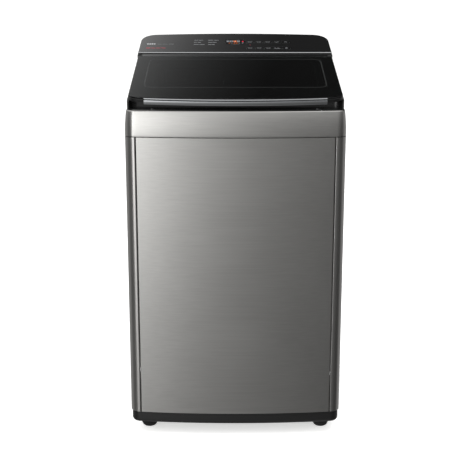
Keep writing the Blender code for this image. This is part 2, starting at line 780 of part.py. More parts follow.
def make_lid():
    """The lid frame with its hinge barrel, the glass, the chrome handle trim and the two hinge pins."""
    hinge = bpy.data.objects.new("lid_hinge_line", None)
    bpy.context.scene.collection.objects.link(hinge)
    hinge.location = (0, HINGE_Y, HINGE_Z)
    hinge.rotation_euler = (SLOPE, 0, 0)

    frame = add_object(
        "lid_frame", prism(lid_outline(0, LID_NOTCH_U), LID_LOW_N, LID_SHELF_N), black_plastic(), hinge
    )
    tongue = box((-BARREL_HALF, BARREL_HALF), (LID_NOTCH_U - 0.004, 0.0), (LID_LOW_N, TOP_N - 0.0002))
    boolean(frame, helper("lid_tongue", tongue, hinge), "UNION")
    barrel = rod_along("X", BARREL_RADIUS, -BARREL_HALF, BARREL_HALF, (0, 0), 24)
    boolean(frame, helper("lid_barrel", barrel, hinge), "UNION")
    window = rounded_rectangle((-WINDOW_HALF, WINDOW_HALF), WINDOW_U, 0.020, 4)
    boolean(frame, helper("lid_window", prism(window, -THROUGH, THROUGH), hinge))
    pin_hole = rod_along("X", PIN_RADIUS + GAP, -WIDTH / 2, WIDTH / 2, (0, 0), 16)
    boolean(frame, helper("lid_pin_hole", pin_hole, hinge))

    glass = prism(lid_outline(0.0015, GLASS_BACK_U - 0.0025), LID_SHELF_N + GAP, TOP_N)
    add_object("lid_glass", glass, smoked_glass(), hinge)

    trim_path = lid_front(-GAP, TRIM_HALF, 16)
    trim = sheet_wall(trim_path, LID_LOW_N, TOP_N - 0.001, -0.0025)
    add_object("lid_handle_trim", trim, chrome(), hinge)

    for side, name in ((-1, "left_hinge_pin"), (1, "right_hinge_pin")):
        ends = sorted((side * 0.2350, side * (PIN_END - 0.0005)))
        add_object(name, rod_along("X", PIN_RADIUS, ends[0], ends[1], (0, 0), 12), stainless(), hinge)
    return hinge


# ---------------------------------------------------------------- tub group
def corner_places():
    """The four suspension corners as (name, x, y)."""
    for y_side, end in ((-1, "front"), (1, "rear")):
        for x_side, hand in ((-1, "left"), (1, "right")):
            yield f"{end}_{hand}", x_side * ROD_OFFSET, TUB_Y + y_side * ROD_OFFSET


def make_outer_tub():
    """The water tub: a turned shell with a hub hole, and four lugs that ride on the springs."""
    inner = TUB_RADIUS - TUB_WALL
    hub = 0.0280
    profile = (
        (hub, TUB_LOW),
        (TUB_RADIUS - 0.030, TUB_LOW),
        (TUB_RADIUS - 0.008, TUB_LOW + 0.010),
        (TUB_RADIUS, TUB_LOW + 0.035),
        (TUB_RADIUS, TUB_HIGH),
        (inner, TUB_HIGH),
        (inner, TUB_LOW + 0.036),
        (inner - 0.008, TUB_LOW + 0.013),
        (TUB_RADIUS - 0.031, TUB_LOW + 0.0045),
        (hub, TUB_LOW + 0.0045),
    )
    tub = add_object("outer_tub", turned(profile, 40, (0, TUB_Y), closed=True), tub_plastic())
    half, reach, height = 0.017, 0.313, 0.016
    centre = Vector((0, TUB_Y))
    for name, x, y in corner_places():
        way = (Vector((x, y)) - centre).normalized()
        across = Vector((-way.y, way.x)) * half
        near, far = centre + way * (inner + GAP), centre + way * reach
        outline = [tuple(p) for p in (near - across, far - across, far + across, near + across)]
        boolean(tub, helper(f"lug_{name}", prism(outline, LUG_LOW, LUG_LOW + height)), "UNION")
        drill(tub, f"lug_bore_{name}", ROD_HOLE, LUG_LOW, LUG_LOW + height, (x, y))
    return tub


def make_tub_cover():
    """The ring that closes the tub round the basket's mouth."""
    wall = 0.0035
    profile = (
        (COVER_INNER, 0.7640),
        (COVER_INNER, 0.7690),
        (COVER_INNER + 0.004, COVER_HIGH),
        (TUB_RADIUS - 0.010, COVER_HIGH),
        (TUB_RADIUS + 0.003, 0.7640),
        (TUB_RADIUS + 0.003, TUB_HIGH + GAP),
        (TUB_RADIUS - 0.0005, TUB_HIGH + GAP),
        (TUB_RADIUS - 0.0005, 0.7615),
        (TUB_RADIUS - 0.012, COVER_HIGH - wall),
        (COVER_INNER + 0.006, COVER_HIGH - wall),
        (COVER_INNER + 0.003, 0.7640),
    )
    return add_object("tub_cover", turned(profile, 40, (0, TUB_Y), closed=True), tub_plastic())


def make_basket():
    """The stainless wash basket and the liquid balance ring on its rim."""
    sheet, hub = 0.0007, 0.0178
    profile = (
        (hub, BASKET_LOW),
        (BASKET_RADIUS - 0.022, BASKET_LOW),
        (BASKET_RADIUS - 0.006, BASKET_LOW + 0.006),
        (BASKET_RADIUS, BASKET_LOW + 0.022),
        (BASKET_RADIUS, RING_LOW - GAP),
        (BASKET_RADIUS - sheet, RING_LOW - GAP),
        (BASKET_RADIUS - sheet, BASKET_LOW + 0.023),
        (BASKET_RADIUS - sheet - 0.006, BASKET_LOW + 0.0075),
        (BASKET_RADIUS - 0.0225, BASKET_LOW + 0.002),
        (hub, BASKET_LOW + 0.002),
    )
    add_object("wash_basket", turned(profile, 40, (0, TUB_Y), closed=True), stainless())
    ring = (
        (RING_INNER + 0.006, RING_LOW),
        (BASKET_RADIUS, RING_LOW),
        (BASKET_RADIUS + 0.003, RING_LOW + 0.004),
        (BASKET_RADIUS + 0.003, RING_HIGH - 0.008),
        (BASKET_RADIUS - 0.006, RING_HIGH),
        (RING_INNER + 0.012, RING_HIGH),
        (RING_INNER, RING_HIGH - 0.014),
        (RING_INNER, RING_LOW + 0.010),
    )
    add_object("balance_ring", turned(ring, 40, (0, TUB_Y), closed=True), tub_plastic())


def make_lint_filter(name, side):
    """A pocket filter that hangs on the basket's wall."""
    thick, half_angle, low, high = 0.016, math.radians(12), 0.450, 0.640
    outer = BASKET_RADIUS - 0.0020

    def curve(radius, swing):
        steps = 6
        angles = [swing * (2 * i / steps - 1) for i in range(steps + 1)]
        return [(radius * math.cos(a) * side, TUB_Y + radius * math.sin(a)) for a in angles]

    outline = curve(outer, half_angle) + list(reversed(curve(outer - thick, half_angle * 0.9)))
    return add_object(name, prism(outline, low, high), tub_plastic())


def make_pulsator():
    """The wash plate: a shallow hollow cone with six rounded vanes, and a hub down to the drive."""
    steps, vanes, radius, wall = 48, 6, 0.165, 0.0028
    low = BASKET_LOW + 0.0085
    crown, cone, vane_height, twist = 0.010, 0.010, 0.017, 6.0
    start, hub, bore = 0.030, 0.022, 0.015

    def ring(r, height_at):
        angles = [2 * math.pi * i / steps for i in range(steps)]
        return [(r * math.cos(a), TUB_Y + r * math.sin(a), height_at(a)) for a in angles]

    def flat(r, height):
        return ring(r, lambda a: height)

    def face(r, drop):
        along = math.sin(math.pi * min(max((r - start) / (radius - start), 0), 1))
        base = low + crown + cone * (1 - r / radius) ** 2 - drop
        return ring(r, lambda a: base + vane_height * along * max(math.cos(vanes * a - twist * r), 0) ** 2)

    rings = (0.020, 0.034, 0.060, 0.090, 0.120, 0.145)
    loops = [face(r, 0) for r in rings]
    loops += [flat(radius, low + 0.004), flat(radius, low), flat(radius - wall, low)]
    loops += [face(r, wall) for r in reversed(rings[1:])]
    loops += [flat(hub, low + 0.004), flat(hub, low), flat(bore, low), flat(bore, BASKET_LOW + 0.0070)]
    return add_object("pulsator", skin(bmesh.new(), loops), tub_plastic())


def make_drive():
    """The steel drive frame under the tub, the clutch, the motor, the two pulleys and the belt."""
    frame_low = 0.2900
    frame = add_object(
        "drive_frame",
        box((-0.170, 0.205), (TUB_Y - 0.095, TUB_Y + 0.075), (frame_low, frame_low + 0.003)),
        galvanised(),
    )
    drill(frame, "clutch_hole", 0.0480, frame_low, frame_low + 0.003, (0, TUB_Y), 24)
    clutch = (
        (0.0080, PULLEY_HIGH + 0.002),
        (0.0080, 0.160),
        (0.0400, 0.164),
        (0.0560, 0.176),
        (0.0560, 0.250),
        (0.0620, 0.284),
        (0.0620, frame_low - GAP),
        (0.0470, frame_low - GAP),
        (0.0470, TUB_LOW - GAP),
        (0.0270, TUB_LOW - GAP),
        (0.0270, TUB_LOW + 0.012),
        (0.0170, TUB_LOW + 0.014),
        (0.0170, BASKET_LOW + 0.0065),
    )
    add_object("clutch_housing", turned(clutch, 28, (0, TUB_Y)), galvanised())
    motor = (
        (0.0060, PULLEY_HIGH + 0.002),
        (0.0060, 0.166),
        (0.0300, 0.168),
        (0.0560, 0.176),
        (0.0620, 0.186),
        (0.0620, 0.262),
        (0.0560, 0.274),
        (0.0300, 0.280),
        (0.0300, frame_low - GAP),
    )
    add_object("motor", turned(motor, 28, (MOTOR_X, TUB_Y)), galvanised())
    make_pulley("clutch_pulley", 0.0, CLUTCH_PULLEY_RADIUS)
    make_pulley("motor_pulley", MOTOR_X, MOTOR_PULLEY_RADIUS)
    make_belt()


def make_pulley(name, x, radius):
    """A grooved wheel with a boss below and a spacer above."""
    groove, boss, spacer, flange = radius - GROOVE_DEPTH, radius * 0.35, 0.012, 0.003
    profile = (
        (boss, PULLEY_LOW - 0.004),
        (boss, PULLEY_LOW),
        (radius, PULLEY_LOW),
        (radius, PULLEY_LOW + flange),
        (groove, PULLEY_LOW + 0.007),
        (groove, PULLEY_HIGH - 0.007),
        (radius, PULLEY_HIGH - flange),
        (radius, PULLEY_HIGH),
        (spacer, PULLEY_HIGH),
        (spacer, PULLEY_HIGH + 0.0015),
    )
    return add_object(name, turned(profile, 28, (x, TUB_Y)), galvanised())


def make_belt():
    """The belt, lying in both grooves."""
    belt_low, belt_high = PULLEY_LOW + 0.0072, PULLEY_HIGH - 0.0072
    outer = belt_loop(0.0045)
    inner = belt_loop(0.0)
    loops = [
        [(x, y, z) for x, y in loop]
        for loop, z in ((inner, belt_low), (outer, belt_low), (outer, belt_high), (inner, belt_high))
    ]
    add_object("drive_belt", skin(bmesh.new(), loops, wrap=True), rubber())


def belt_loop(grow):
    """The belt's run round both pulleys, lying just off the floors of their grooves."""
    big = CLUTCH_PULLEY_RADIUS - GROOVE_DEPTH + BELT_GAP + grow
    small = MOTOR_PULLEY_RADIUS - GROOVE_DEPTH + BELT_GAP + grow
    lean = math.asin((big - small) / MOTOR_X)
    square = math.pi / 2

    def wrap(x, radius, start, end, steps):
        angles = [start + (end - start) * i / steps for i in range(steps + 1)]
        return [(x + radius * math.cos(a), TUB_Y + radius * math.sin(a)) for a in angles]

    motor_side = wrap(MOTOR_X, small, lean - square, square - lean, 8)
    clutch_side = wrap(0.0, big, square - lean, 3 * square + lean, 18)
    return motor_side + clutch_side


def make_drain():
    """The drain valve under the tub, and the spigot through the back."""
    profile = [(0.026, DRAIN.z - 0.030), (0.030, DRAIN.z - 0.024), (0.030, TUB_LOW - GAP)]
    valve = add_object("drain_valve", turned(profile, 20, (DRAIN.x, DRAIN.y)), tub_plastic())
    nose = rod_along("Y", 0.0145, DRAIN.y, NOSE_END_Y, (DRAIN.x, DRAIN.z), 16)
    boolean(valve, helper("drain_nose", nose), "UNION")
    centre, back = (OUTLET_X, OUTLET_Z), DEPTH / 2
    spigot = rod_along("Y", OUTLET_RADIUS, SPIGOT_START_Y, back, centre, 20)
    outlet = add_object("drain_outlet", spigot, black_plastic())
    bore = rod_along("Y", 0.0120, SPIGOT_START_Y + 0.010, back + THROUGH, centre, 16)
    boolean(outlet, helper("outlet_inside", bore))
    return valve


def bezier(a, b, c, d, t):
    """A point at t on the cubic curve with these four control points."""
    s = 1 - t
    return a * s**3 + b * 3 * s * s * t + c * 3 * s * t * t + d * t**3


def make_drain_hose():
    """The soft hose from the valve's nose down to the spigot."""
    start = Vector((DRAIN.x, NOSE_END_Y + GAP, DRAIN.z))
    end = Vector((OUTLET_X, SPIGOT_START_Y - GAP, OUTLET_Z))
    lead = Vector((0, 0.004, 0))
    leave = start + Vector((0, 0.075, 0))
    arrive = end - Vector((0, 0.095, 0))
    steps = 14
    bend = [bezier(start + lead, leave, arrive, end - lead, i / steps) for i in range(steps + 1)]
    points = [start] + bend + [end]
    curve = bpy.data.curves.new("drain_hose", "CURVE")
    curve.dimensions = "3D"
    spline = curve.splines.new("POLY")
    spline.points.add(len(points) - 1)
    for slot, point in zip(spline.points, points):
        slot.co = (*point, 1)
    curve.bevel_depth = 0.0150
    curve.bevel_resolution = 3
    curve.use_fill_caps = True
    hose = bpy.data.objects.new("drain_hose", curve)
    curve.materials.append(rubber())
    bpy.context.scene.collection.objects.link(hose)
    return hose


def make_suspension():
    """A rod with its foot cap, and a coil spring, at each corner of the tub."""
    for name, x, y in corner_places():
        rod = (
            (0.0100, SPRING_LOW - 0.0120),
            (0.0170, SPRING_LOW - 0.0100),
            (0.0170, SPRING_LOW - GAP),
            (ROD_RADIUS, SPRING_LOW - GAP),
            (ROD_RADIUS, HANGER_Z + 0.0060),
            (0.0090, HANGER_Z + 0.0075),
            (0.0090, HANGER_Z + 0.0120),
            (0.0040, HANGER_Z + 0.0160),
        )
        add_object(f"suspension_rod_{name}", turned(rod, 12, (x, y)), galvanised())
        make_spring(f"suspension_spring_{name}", x, y)


def make_spring(name, x, y):
    """A coil spring between the rod's cap and the lug."""
    wire, radius, per_turn = 0.0014, 0.0110, 9
    low, high = SPRING_LOW + wire, LUG_LOW - GAP - wire
    curve = bpy.data.curves.new(name, "CURVE")
    curve.dimensions = "3D"
    spline = curve.splines.new("POLY")
    count = SPRING_COILS * per_turn
    spline.points.add(count)
    for i in range(count + 1):
        angle = 2 * math.pi * i / per_turn
        height = low + (high - low) * i / count
        spline.points[i].co = (x + radius * math.cos(angle), y + radius * math.sin(angle), height, 1)
    curve.bevel_depth = wire
    curve.bevel_resolution = 0
    curve.use_fill_caps = True
    spring = bpy.data.objects.new(name, curve)
    curve.materials.append(stainless())
    bpy.context.scene.collection.objects.link(spring)


def main():
    for obj in list(bpy.data.objects):
        bpy.data.objects.remove(obj)
    make_base_frame()
    make_side_panel("left_side_panel", -1)
    make_side_panel("right_side_panel", 1)
    make_front_panel()
    make_back_panel()
    make_service_cover()
    make_top_skirt()
    for side, hand in ((-1, "left"), (1, "right")):
        for y, end in zip(FOOT_Y, ("front", "rear")):
            make_foot(f"{end}_{hand}_foot", side * FOOT_X, y)
    make_top_deck()
    make_console_housing()
    make_fascia()
    make_control_board()
    make_water_inlet()
    make_dispenser()
    make_lid_damper()
    make_lid()
    make_outer_tub()
    make_tub_cover()
    make_basket()
    make_lint_filter("left_lint_filter", -1)
    make_lint_filter("right_lint_filter", 1)
    make_pulsator()
    make_drive()
    make_drain()
    make_drain_hose()
    make_suspension()


main()
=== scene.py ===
"""Finished look of a top load washing machine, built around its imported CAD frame.

Everything is in metres, +Z up, and the front faces -Y. Lid, glass and control panel share one
plane that rises towards the back. Their pieces are drawn as (x, u, n): u runs up that slope from the
lid's hinge line, and n stands square to it.
"""

import json
from math import asin, atan2, cos, hypot, pi, radians, sin, sqrt, tan

import bmesh
import bpy
from bpy.props import FloatProperty, FloatVectorProperty, IntProperty, PointerProperty, StringProperty
from mathutils import Matrix, Vector


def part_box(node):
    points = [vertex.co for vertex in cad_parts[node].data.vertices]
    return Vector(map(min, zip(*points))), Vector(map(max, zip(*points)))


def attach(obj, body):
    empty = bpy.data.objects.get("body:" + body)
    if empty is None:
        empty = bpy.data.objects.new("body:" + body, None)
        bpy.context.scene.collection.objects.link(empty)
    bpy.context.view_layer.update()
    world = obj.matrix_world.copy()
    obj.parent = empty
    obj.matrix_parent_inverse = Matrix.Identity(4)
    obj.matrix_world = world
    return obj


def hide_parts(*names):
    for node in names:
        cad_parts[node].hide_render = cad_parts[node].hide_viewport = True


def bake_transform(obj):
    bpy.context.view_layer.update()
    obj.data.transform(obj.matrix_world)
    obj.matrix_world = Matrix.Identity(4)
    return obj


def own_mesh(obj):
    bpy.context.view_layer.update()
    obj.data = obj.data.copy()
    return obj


bl_info = {
    "name": "Top Load Washing Machine", "version": (1, 0, 0), "blender": (4, 5, 0),
    "location": "View3D > Sidebar > Washer",
    "description": "Builds the finished pieces of a top load washing machine round its frame", "category": "Object"
}

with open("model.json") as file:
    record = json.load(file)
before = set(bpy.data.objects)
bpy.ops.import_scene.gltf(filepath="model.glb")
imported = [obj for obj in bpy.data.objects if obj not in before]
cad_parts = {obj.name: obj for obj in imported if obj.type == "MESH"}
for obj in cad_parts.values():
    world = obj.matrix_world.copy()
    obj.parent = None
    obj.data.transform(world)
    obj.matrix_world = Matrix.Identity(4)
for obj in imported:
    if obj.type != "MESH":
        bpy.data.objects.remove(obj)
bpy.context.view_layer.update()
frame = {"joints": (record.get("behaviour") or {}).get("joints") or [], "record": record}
JOINTS = {joint["name"]: joint for joint in frame["joints"]}
BODY_OF = {node: body for body, nodes in frame["record"]["behaviour"]["bodies"].items() for node in nodes}

# ---------------------------------------------------------------- sizes read from the frame
WIDTH = 2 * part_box("right_side_panel")[1].x
FRONT_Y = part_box("front_panel")[0].y
BACK_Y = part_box("back_panel")[1].y
STEEL_LOW, STEEL_HIGH = (corner.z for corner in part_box("front_panel"))
SKIRT_LOW, SKIRT_HIGH = (corner.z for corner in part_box("top_skirt"))
PLINTH_LOW, PLINTH_HIGH = (corner.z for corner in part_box("base_frame"))
PANEL_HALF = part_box("front_panel")[1].x
DECK_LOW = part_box("console_housing")[0].z
MOUTH_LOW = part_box("top_deck")[0].z
DECK_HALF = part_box("top_deck")[1].x
DECK_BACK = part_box("top_deck")[1].y
CONSOLE_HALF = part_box("console_fascia")[1].x
CONSOLE_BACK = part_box("console_fascia")[1].y
CONSOLE_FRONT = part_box("console_trim")[0].y
TRIM_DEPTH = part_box("console_trim")[1].y - CONSOLE_FRONT
HINGE = Vector(JOINTS["lid_hinge"]["pos_m"])
TUB_Y = JOINTS["basket_spin"]["pos_m"][1]
TUB_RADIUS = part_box("outer_tub")[1].x
TUB_LOW, TUB_HIGH = (corner.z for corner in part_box("outer_tub"))
BASKET_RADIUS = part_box("wash_basket")[1].x
BASKET_LOW, BASKET_HIGH = (corner.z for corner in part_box("wash_basket"))
RING_LOW, RING_HIGH = (corner.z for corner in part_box("balance_ring"))
LID_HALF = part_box("lid_frame")[1].x
PRESS = JOINTS["power_key_press"]["axis"]
SLOPE = atan2(PRESS[1], -PRESS[2])
GAP = 0.0003

# the plan of the cabinet: a bowed front between two rounded corners
CORNER_RADIUS = 0.026
FRONT_BOW = 0.014
FRONT_RADIUS = (PANEL_HALF**2 + FRONT_BOW**2) / (2 * FRONT_BOW)
FRONT_CENTRE_Y = FRONT_Y + FRONT_RADIUS
CORNER_X = WIDTH / 2 - CORNER_RADIUS
CORNER_Y = FRONT_CENTRE_Y - sqrt((FRONT_RADIUS - CORNER_RADIUS) ** 2 - CORNER_X**2)
CORNER_SWING = asin(CORNER_X / (FRONT_RADIUS - CORNER_RADIUS))

# levels square to the sloping plane
TOP_N = 0.008
FASCIA_LOW_N = 0.0045
LID_LOW_N = -0.0042
LID_SHELF_N = 0.0042
LEDGE_N = -0.005
LID_FRONT_U = -0.3745
LID_CORNER = 0.028
WINDOW_HALF = 0.225
WINDOW_U = (-0.283, -0.05)

LID_PLACE = Matrix.Translation(HINGE) @ Matrix.Rotation(SLOPE, 4, "X")


# ---------------------------------------------------------------- what a user may change
class WasherSizes(bpy.types.PropertyGroup):
    """Sizes that change the look without changing the frame."""

    sheet: FloatProperty(
        name="Sheet thickness", description="Thickness of the cabinet's steel", default=0.0008, unit="LENGTH"
    )
    fold: FloatProperty(
        name="Fold radius", description="Inside radius of the folds in the steel", default=0.0022, unit="LENGTH"
    )
    moulded_edge: FloatProperty(
        name="Moulded edge", description="Radius on the edges of moulded plastic", default=0.001, unit="LENGTH"
    )
    plinth_round: FloatProperty(
        name="Plinth rounding", description="Radius along the plinth's lower edge", default=0.009, unit="LENGTH"
    )
    hole_pitch: FloatProperty(
        name="Hole pitch", description="Distance between the basket's drain holes", default=0.026, unit="LENGTH"
    )
    hole_size: FloatProperty(
        name="Hole size", description="Diameter of the basket's drain holes", default=0.0042, unit="LENGTH"
    )
    turn_steps: IntProperty(
        name="Turning steps", description="Facets round a turned piece", default=96, min=24, max=256
    )


class WasherFinishes(bpy.types.PropertyGroup):
    """Colours as sRGB hex values, and the gloss of the main surfaces."""

    steel: StringProperty(name="Steel", description="Colour of the brushed cabinet", default="C6C5C2")
    steel_roughness: FloatProperty(
        name="Steel roughness", description="How wide the cabinet's highlights spread", default=0.3, min=0.0,
        max=1.0, subtype="FACTOR"
    )
    black: StringProperty(name="Moulded black", description="Colour of the grained black plastic", default="171717")
    gloss: StringProperty(name="Gloss black", description="Colour of the control panel", default="09090A")
    glass: StringProperty(
        name="Glass tint", description="Colour that the lid's glass lets through", default="6E7372"
    )
    chrome: StringProperty(name="Bright trim", description="Colour of the plated trim", default="DCDEE0")
    polypropylene: StringProperty(name="Tub plastic", description="Colour of the tub's plastic", default="C3C7CA")
    rubber: StringProperty(name="Rubber", description="Colour of feet, belt and hose", default="131314")
    legend: StringProperty(name="Legend ink", description="Colour of the panel's printed marks", default="B9BBBD")
    display: StringProperty(name="Display", description="Colour of the lit digits", default="FF7A1E")


class WasherStage(bpy.types.PropertyGroup):
    """Floor, lights and camera."""

    floor: StringProperty(name="Floor", description="Colour of the floor", default="F4F4F3")
    key_power: FloatProperty(
        name="Key light", description="Power of the large front light", default=60.0, unit="POWER"
    )
    lens: FloatProperty(name="Lens", description="Focal length on a 36 mm sensor", default=85.3, unit="CAMERA")
    camera_place: FloatVectorProperty(
        name="Camera", description="Where the camera stands", default=(-0.0134, -2.887, 1.234), unit="LENGTH"
    )
    camera_pitch: FloatProperty(
        name="Tilt", description="How far the camera looks down", default=radians(14.69), unit="ROTATION"
    )


# ---------------------------------------------------------------- materials
def linear(colour_hex, factor=1.0):
    """An sRGB hex value, made lighter or darker by a factor, as linear red, green, blue and alpha."""
    channels = [int(colour_hex[i : i + 2], 16) / 255 for i in (0, 2, 4)]
    curve = [c / 12.92 if c <= 0.04045 else ((c + 0.055) / 1.055) ** 2.4 for c in channels]
    return (*[min(c * factor, 1.0) for c in curve], 1.0)


def add_node(tree, kind, settings=None, values=None, links=None):
    """Adds one node with its settings, its input values and its links."""
    made = tree.nodes.new(kind)
    for key, value in (settings or {}).items():
        setattr(made, key, value)
    for key, value in (values or {}).items():
        made.inputs[key].default_value = value
    for key, source in (links or {}).items():
        tree.links.new(source, made.inputs[key])
    return made


def new_finish(name, **sockets):
    """A material with one Principled shader, whose plain values are set on its own sockets."""
    material = bpy.data.materials.new(name)
    material.use_nodes = True
    shader = material.node_tree.nodes["Principled BSDF"]
    for key, value in sockets.items():
        shader.inputs[key.replace("_", " ").title().replace("Ior", "IOR")].default_value = value
    return material.node_tree, shader


def surface_point(tree, stretch=(1, 1, 1)):
    """The point on the piece in metres, stretched along each axis."""
    where = add_node(tree, "ShaderNodeTexCoord")
    placed = add_node(
        tree, "ShaderNodeMapping", values={"Scale": stretch}, links={"Vector": where.outputs["Object"]}
    )
    return placed.outputs["Vector"]


def blotches(tree, size, detail=3.0, stretch=(1, 1, 1)):
    """An uneven 0 to 1 pattern on the piece, whose patches are about size metres across."""
    cloud = add_node(
        tree, "ShaderNodeTexNoise", values={"Scale": 1 / size, "Detail": detail, "Roughness": 0.55},
        links={"Vector": surface_point(tree, stretch)}
    )
    return cloud.outputs["Fac"]


def dress(tree, shader, pattern, colours, roughness, relief=0.0):
    """Lets one pattern vary a finish: colour between two, roughness between two, and relief in metres."""
    ramp = add_node(tree, "ShaderNodeValToRGB", links={"Fac": pattern})
    for stop, colour in zip(ramp.color_ramp.elements, colours):
        stop.color = colour
    tree.links.new(ramp.outputs["Color"], shader.inputs["Base Color"])
    spread = add_node(
        tree, "ShaderNodeMapRange", values={"To Min": roughness[0], "To Max": roughness[1]},
        links={"Value": pattern}
    )
    tree.links.new(spread.outputs["Result"], shader.inputs["Roughness"])
    if relief:
        height = add_node(
            tree, "ShaderNodeBump", values={"Strength": 0.5, "Distance": relief}, links={"Height": pattern}
        )
        tree.links.new(height.outputs["Normal"], shader.inputs["Normal"])


def brushed_stainless(name, colour_hex, roughness, along):
    """Belt-ground stainless sheet: fine lines run one way and pull each highlight out across them."""
    tree, shader = new_finish(name, metallic=1.0)
    line = 0.003  # real lines are 0.2 mm apart, drawn coarser so that they show
    stretch = [1.0 if axis != along else 0.012 for axis in range(3)]
    lines = add_node(
        tree, "ShaderNodeMath", {"operation": "MULTIPLY"}, {1: 0.75}, {0: blotches(tree, line, 4.0, stretch)}
    )
    both = add_node(
        tree, "ShaderNodeMath", {"operation": "MULTIPLY_ADD"}, {1: 0.25},
        {0: blotches(tree, 0.16, 2.0), 2: lines.outputs[0]}
    )
    colours = (linear(colour_hex, 0.84), linear(colour_hex, 1.12))
    dress(tree, shader, both.outputs[0], colours, (roughness - 0.05, roughness + 0.05), 0.000015)


def galvanised_sheet():
    """Hot-dip galvanised sheet: zinc spangle, flat grey crystals that each catch the light a little differently."""
    tree, shader = new_finish("galvanised_sheet_steel", metallic=1.0)
    crystals = add_node(
        tree, "ShaderNodeTexVoronoi", values={"Scale": 1 / 0.007}, links={"Vector": surface_point(tree)}
    )
    shade = add_node(tree, "ShaderNodeSeparateColor", links={"Color": crystals.outputs["Color"]})
    dress(tree, shader, shade.outputs["Red"], (linear("B4B8BA"), linear("C6CACC")), (0.42, 0.52))


def zinc_plate():
    """Bright zinc plate on screws, nuts and rods: a cool, slightly cloudy shine."""
    tree, shader = new_finish("zinc_plated_steel", metallic=1.0)
    dress(tree, shader, blotches(tree, 0.004), (linear("A3A7AA"), linear("BFC3C6")), (0.22, 0.38))


def cast_aluminium():
    """Die-cast aluminium: matt grey with a fine sandy grain."""
    tree, shader = new_finish("cast_aluminium", metallic=1.0)
    dress(tree, shader, blotches(tree, 0.0012, 4.0), (linear("8E9092"), linear("A6A8AA")), (0.42, 0.58), 0.00012)


def grained_plastic(name, colour_hex, roughness=0.42, grain=0.0009, relief=0.00004):
    """Plastic moulded in a spark-eroded tool: dull, with a soft broken sheen."""
    tree, shader = new_finish(name, ior=1.53)
    colours = (linear(colour_hex, 0.88), linear(colour_hex, 1.12))
    dress(tree, shader, blotches(tree, grain), colours, (roughness - 0.07, roughness + 0.07), relief)


def polished_panel(name, colour_hex):
    """Acrylic-faced plastic, polished: a black mirror with the faint waviness of a moulding."""
    tree, shader = new_finish(name, ior=1.95, coat_weight=1.0, coat_roughness=0.03)
    colours = (linear(colour_hex, 0.9), linear(colour_hex, 1.1))
    dress(tree, shader, blotches(tree, 0.04, 2.0), colours, (0.07, 0.12), 0.00002)


def tinted_glass(name, colour_hex):
    """Grey tempered glass: clear, dark in the body, with a hard reflection."""
    tree, shader = new_finish(name, ior=1.52, transmission_weight=1.0)
    colours = (linear(colour_hex, 0.96), linear(colour_hex, 1.04))
    dress(tree, shader, blotches(tree, 0.06, 2.0), colours, (0.0, 0.025))


def painted_highlight_film(name, colour_hex, cover):
    """A faint pale film laid on the glass: painted highlight that stands for a light line along an edge."""
    tree, shader = new_finish(name, ior=1.5, alpha=cover)
    colours = (linear(colour_hex, 0.9), linear(colour_hex, 1.1))
    dress(tree, shader, blotches(tree, 0.03, 2.0), colours, (0.05, 0.12))


def bright_chrome():
    """Decorative chrome on plastic: a cool mirror with a few wiping marks."""
    tree, shader = new_finish("bright_chrome_plate", metallic=1.0)
    chrome = bpy.context.scene.washer_finishes.chrome
    marks = blotches(tree, 0.006, 3.0, (0.2, 1, 1))
    dress(tree, shader, marks, (linear(chrome, 0.95), linear(chrome)), (0.1, 0.17))


def drum_stainless():
    """Bright annealed stainless sheet: a soft mirror with faint rolling lines round the drum."""
    tree, shader = new_finish("drum_stainless_steel", metallic=1.0)
    lines = blotches(tree, 0.0015, 3.0, (0.03, 0.03, 1))
    dress(tree, shader, lines, (linear("BDBFC0"), linear("D3D5D6")), (0.16, 0.27))


def moulded_rubber(name, colour_hex):
    """Moulded rubber: dark, dry and dusty in the light."""
    tree, shader = new_finish(name, ior=1.52)
    colours = (linear(colour_hex), linear(colour_hex, 1.7))
    dress(tree, shader, blotches(tree, 0.003, 4.0), colours, (0.62, 0.85), 0.00008)


def screen_print(name, colour_hex):
    """Screen-printed ink: flat colour with a slightly uneven film."""
    tree, shader = new_finish(name, ior=1.5)
    colours = (linear(colour_hex, 0.85), linear(colour_hex))
    dress(tree, shader, blotches(tree, 0.0015, 2.0), colours, (0.45, 0.6))


def lit_diffuser(name, colour_hex, strength):
    """A diode behind its diffuser: its own even glow."""
    tree, shader = new_finish(name, emission_color=linear(colour_hex), emission_strength=strength)
    colours = (linear(colour_hex, 0.8), linear(colour_hex))
    dress(tree, shader, blotches(tree, 0.002, 2.0), colours, (0.35, 0.45))


def circuit_board():
    """Glass-fibre board under green solder mask, with the copper tracks just showing."""
    tree, shader = new_finish("green_circuit_board", ior=1.5)
    tracks = add_node(
        tree, "ShaderNodeTexBrick", values={"Scale": 1 / 0.012, "Mortar Size": 0.05},
        links={"Vector": surface_point(tree)}
    )
    dress(tree, shader, tracks.outputs["Fac"], (linear("1A472F"), linear("2F6B47")), (0.3, 0.4))


def copper_winding():
    """Enamelled copper wire laid in turns: warm orange brown with fine ridges."""
    tree, shader = new_finish("enamelled_copper_wire", metallic=1.0)
    turns = add_node(
        tree, "ShaderNodeTexWave", settings={"bands_direction": "Z"},
        values={"Scale": 1 / 0.0055, "Distortion": 1.5}, links={"Vector": surface_point(tree)}
    )
    dress(tree, shader, turns.outputs["Fac"], (linear("6E3A1E"), linear("B8683A")), (0.3, 0.5), 0.0003)


